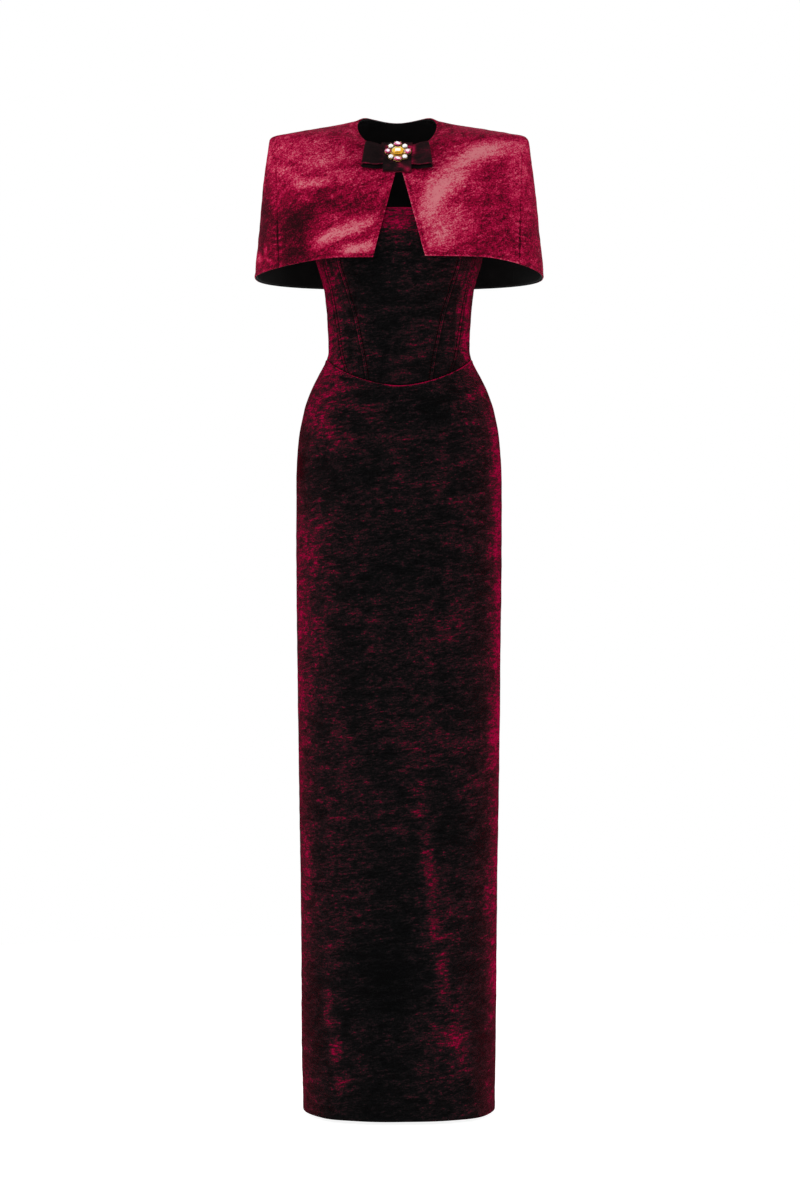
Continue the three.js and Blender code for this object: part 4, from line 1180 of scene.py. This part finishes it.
# Size, sides and angles of the claws of each kind of stone, and how bright its painted facet reflections are
stoneKinds = {
    "beside": {"size": (9.8, 9.6, 3.8), "sides": 8, "claws": (45, 135, 225, 315), "shine": (0.50, 0.10)},
    "above": {"size": (8.2, 12.0, 3.8), "sides": 8, "claws": (45, 135, 225, 315), "shine": (0.50, 0.10)},
    "round": {"size": (7.6, 7.6, 3.6), "sides": 10, "claws": (45, 135, 225, 315), "shine": (0.78, 0.0)},
    "centre": {"size": (16.4, 13.6, 6.0), "sides": 4, "claws": (38, 142, 218, 322), "shine": (0.50, 0.0)},
}


def broochPlace():
    depth = knot["depth"]
    seat, further = (onCape([brooch["x"]], [brooch["z"]], [lift])[0] for lift in (depth, depth + 1))
    outwards = further - seat
    tilt = math.atan2(outwards[2], -outwards[1])
    c, s = math.cos(tilt), math.sin(tilt)
    at = (seat + np.array((0, -c, s)) * brooch["standOff"]) * millimetre
    turned = Matrix(((1, 0, 0, at[0]), (0, s, -c, at[1]), (0, c, s, at[2]), (0, 0, 0, 1)))
    return turned @ Matrix.Scale(millimetre, 4)


def startPiece(add, name, **settings):
    bpy.ops.object.select_all(action="DESELECT")
    add(**settings)
    piece = bpy.context.object
    piece.name = name
    bpy.ops.object.transform_apply(location=True, rotation=True, scale=True)
    return piece


def startDisc(name, sides, size, middle, **settings):
    wide, high, tall = size
    settings.update(vertices=sides, radius=0.5, depth=tall, scale=(wide, high, 1.0))
    place = (0.0, 0.0, middle)
    return startPiece(bpy.ops.mesh.primitive_cylinder_add, name, location=place, **settings)


def setMode(mode):
    bpy.ops.object.mode_set(mode=mode)


# A block with its upright corners cut off, left in edit mode
def startBlock(name, size, middle):
    place = (0.0, 0.0, middle)
    piece = startPiece(bpy.ops.mesh.primitive_cube_add, name, size=1.0, scale=size, location=place)
    setMode("EDIT")
    bpy.ops.mesh.select_mode(type="EDGE")
    bpy.ops.mesh.select_all(action="DESELECT")
    shape = bmesh.from_edit_mesh(piece.data)
    for edge in shape.edges:
        if abs(edge.verts[0].co.z - edge.verts[1].co.z) > 0.1:
            edge.select_set(True)
    bmesh.update_edit_mesh(piece.data)
    bpy.ops.mesh.bevel(offset=brooch["corner"], offset_type="OFFSET", segments=1, affect="EDGES")
    return piece


def chooseFaces(piece, wanted):
    bpy.ops.mesh.select_mode(type="FACE")
    bpy.ops.mesh.select_all(action="DESELECT")
    shape = bmesh.from_edit_mesh(piece.data)
    for face in shape.faces:
        if wanted(face):
            face.select_set(True)
    bmesh.update_edit_mesh(piece.data)


def facesUp(face):
    return face.normal.z > 0.98


def facesDown(face):
    return face.normal.z < -0.98


def insetChosen(piece, wanted, steps, turn=0.0):
    for thickness, depth in steps:
        chooseFaces(piece, wanted)
        bpy.ops.mesh.inset(thickness=thickness, depth=depth)
        if turn:
            bpy.ops.transform.rotate(value=turn, orient_axis="Z", center_override=(0.0, 0.0, 0.0))
            turn = 0.0


def cutStone(name, size, sides):
    wide, high, tall = size
    girdle, middle = (wide, high, 0.12 * tall), 0.48 * tall
    if sides == 4:
        piece = startBlock(name, girdle, middle)
        insetChosen(piece, facesUp, [(1.0, 1.0), (1.5, 0.9), (1.5, 0.5)])
        insetChosen(piece, facesDown, [(1.5, 1.4), (1.6, 0.9)])
    else:
        piece = startDisc(name, sides, girdle, middle)
        small = min(wide, high)
        setMode("EDIT")
        crown = [(0.11 * small, 0.22 * tall), (0.10 * small, 0.20 * tall)]
        insetChosen(piece, facesUp, crown, math.pi / sides)
        insetChosen(piece, facesDown, [(0.22 * small, 0.24 * tall), (0.20 * small, 0.16 * tall)])
        bpy.ops.mesh.select_all(action="SELECT")
        bpy.ops.mesh.quads_convert_to_tris()
    bpy.ops.mesh.select_all(action="SELECT")
    bpy.ops.mesh.normals_make_consistent(inside=False)
    setMode("OBJECT")
    return piece


# Painted reflections: a facet is painted dark where it leans down and bright where it leans up to the light;
# a painted streak of white highlight crosses the table.
def markFacets(piece, seed, turn, base):
    scatter = np.random.default_rng(seed).uniform(-0.20, 0.20, len(piece.data.polygons))
    values = np.zeros(len(piece.data.polygons))
    c, s = math.cos(turn), math.sin(turn)
    for face in piece.data.polygons:
        x, y, z = face.normal
        value = base + 0.50 * (x * s + y * c) - 0.20 * (x * c - y * s) + scatter[face.index]
        if z > 0.98:
            value = 0.86
        if z < 0.3:
            value = 0.10
        values[face.index] = min(max(value, 0.02), 0.98)
    facets = piece.data.attributes.new("facet", "FLOAT", "FACE")
    facets.data.foreach_set("value", values)


def collet(name, size, isStep):
    grow = 2 * brooch["clearance"]
    tall = brooch["colletHeight"] + brooch["footing"] + (1.0 if isStep else 0.0)
    outside = (size[0] + grow, size[1] + grow, tall)
    middle = brooch["plate"] - brooch["footing"] + tall / 2
    if isStep:
        piece = startBlock(name, outside, middle)
        chooseFaces(piece, lambda face: facesUp(face) or facesDown(face))
        bpy.ops.mesh.delete(type="FACE")
        setMode("OBJECT")
    else:
        piece = startDisc(name, 24, outside, middle, end_fill_type="NOTHING")
    wall = piece.modifiers.new("wall", "SOLIDIFY")
    wall.thickness = brooch["colletWall"]
    wall.offset = 1.0
    softened = piece.modifiers.new("softened", "BEVEL")
    softened.width = brooch["colletRound"]
    softened.segments = 2
    for modifier in ("wall", "softened"):
        bpy.ops.object.modifier_apply(modifier=modifier)
    return piece


def prongs(name, size, turns, height):
    made = []
    for i, turn in enumerate(np.radians(turns)):
        x = (size[0] / 2 + 0.1) * math.cos(turn)
        y = (size[1] / 2 + 0.1) * math.sin(turn)
        claw = startPiece(
            bpy.ops.mesh.primitive_uv_sphere_add,
            f"{name}{i}",
            segments=8,
            ring_count=6,
            radius=brooch["prong"],
            scale=(1.0, 1.0, 1.7),
            location=(x, y, height),
        )
        bpy.ops.object.shade_smooth()
        made.append(claw)
    return made


def joinPieces(pieces, name):
    bpy.ops.object.select_all(action="DESELECT")
    for piece in pieces:
        piece.select_set(True)
    bpy.context.view_layer.objects.active = pieces[0]
    bpy.ops.object.join()
    bpy.context.object.name = name
    return bpy.context.object


def buildBrooch():
    place = broochPlace()
    across = 2 * brooch["plateRadius"]
    thick = brooch["plate"]
    plate = startDisc("broochPlate", 48, (across, across * brooch["flatten"], thick), thick / 2)
    setMode("EDIT")
    insetChosen(plate, facesUp, [(0.5, 0.25), (1.0, -0.2)])
    setMode("OBJECT")
    metal = [plate]

    # Node, kind, colour, turn and distance from the middle of each stone
    stones = [("brooch_centre_stone", "centre", "yellow", 0.0, 0.0)]
    for i in range(8):
        colour = "clear" if i % 2 else "pink"
        kind = "round" if i % 2 else ("above" if i % 4 else "beside")
        stones.append((f"brooch_{colour}_stone_{i // 2 + 1}", kind, colour, i * math.pi / 4, brooch["ring"]))

    seat = thick + brooch["clearance"]
    for seed, (node, kindName, colour, turn, away) in enumerate(stones):
        kind = stoneKinds[kindName]
        size, shine = kind["size"], kind["shine"]
        words = node.split("_")
        name = words[0] + "".join(word.capitalize() for word in words[1:])
        stone = cutStone(name, size, kind["sides"])
        markFacets(stone, 40 + seed, turn, shine[0] + shine[1] * math.cos(turn))
        stone.data.materials.append(materials[colour + "Stone"])
        where = (away * math.cos(turn), away * math.sin(turn) * brooch["flatten"], 0.0)
        setIn = Matrix.Translation(where) @ Matrix.Rotation(turn, 4, "Z")
        stone.data.transform(place @ setIn @ Matrix.Translation((0.0, 0.0, seat)))
        declare(stone, node)
        holders = [collet("collet" + name, size, kindName == "centre")]
        holders += prongs("claw" + name, size, kind["claws"], seat + 0.55 * size[2])
        for holder in holders:
            holder.data.transform(setIn)
        metal += holders
    setting = joinPieces(metal, "broochSettingMetal")
    setting.data.materials.clear()
    setting.data.materials.append(materials["goldMetal"])
    setting.data.transform(place)
    declare(setting, "brooch_setting")


buildBrooch()
print("brooch ready")


# Vent behind the walking slit: a strip of the same velvet that lies inside the right back panel

vent = {
    "topZ": -705.0, "bottomZ": -1168.6, "from": 171.0, "to": 184.5, "inside": 2.7, "thick": 1.4,
    "cut": cutOf((0.030, 0.463), 0.0138, "hung", "skirtBackRight"),
}


def buildVent():
    shares = edgedShares(462, 6.0)[:, None]
    columns = edgedShares(30, 3.0)
    angle = np.radians(mixed(vent["from"], vent["to"], columns))[None, :] + 0 * shares
    z = mixed(vent["topZ"], vent["bottomZ"], shares) + 0 * angle
    base = skirtFace(angle, z)
    normal = faceNormal(skirtFace, angle, z, False)
    relief = 0.4 * latticeNoise(angle * middleRadius, z, 30, 60, 51) - vent["inside"]
    outer = pushed(base, normal, relief)
    inner = pushed(base, normal, relief - vent["thick"])
    makeCloth("skirtVent", None, vent["cut"], outer, inner, 0 * relief, gownLooks)


buildVent()
print("vent ready")


# Finish of the zip's solid parts

for nodeName in ("zip_slider", "zip_pull"):
    solid = bpy.data.objects[nodeName]
    if not solid.material_slots:
        solid.data.materials.append(None)
    for slot in solid.material_slots:
        slot.material = materials["zipMetal"]
print("zip ready")
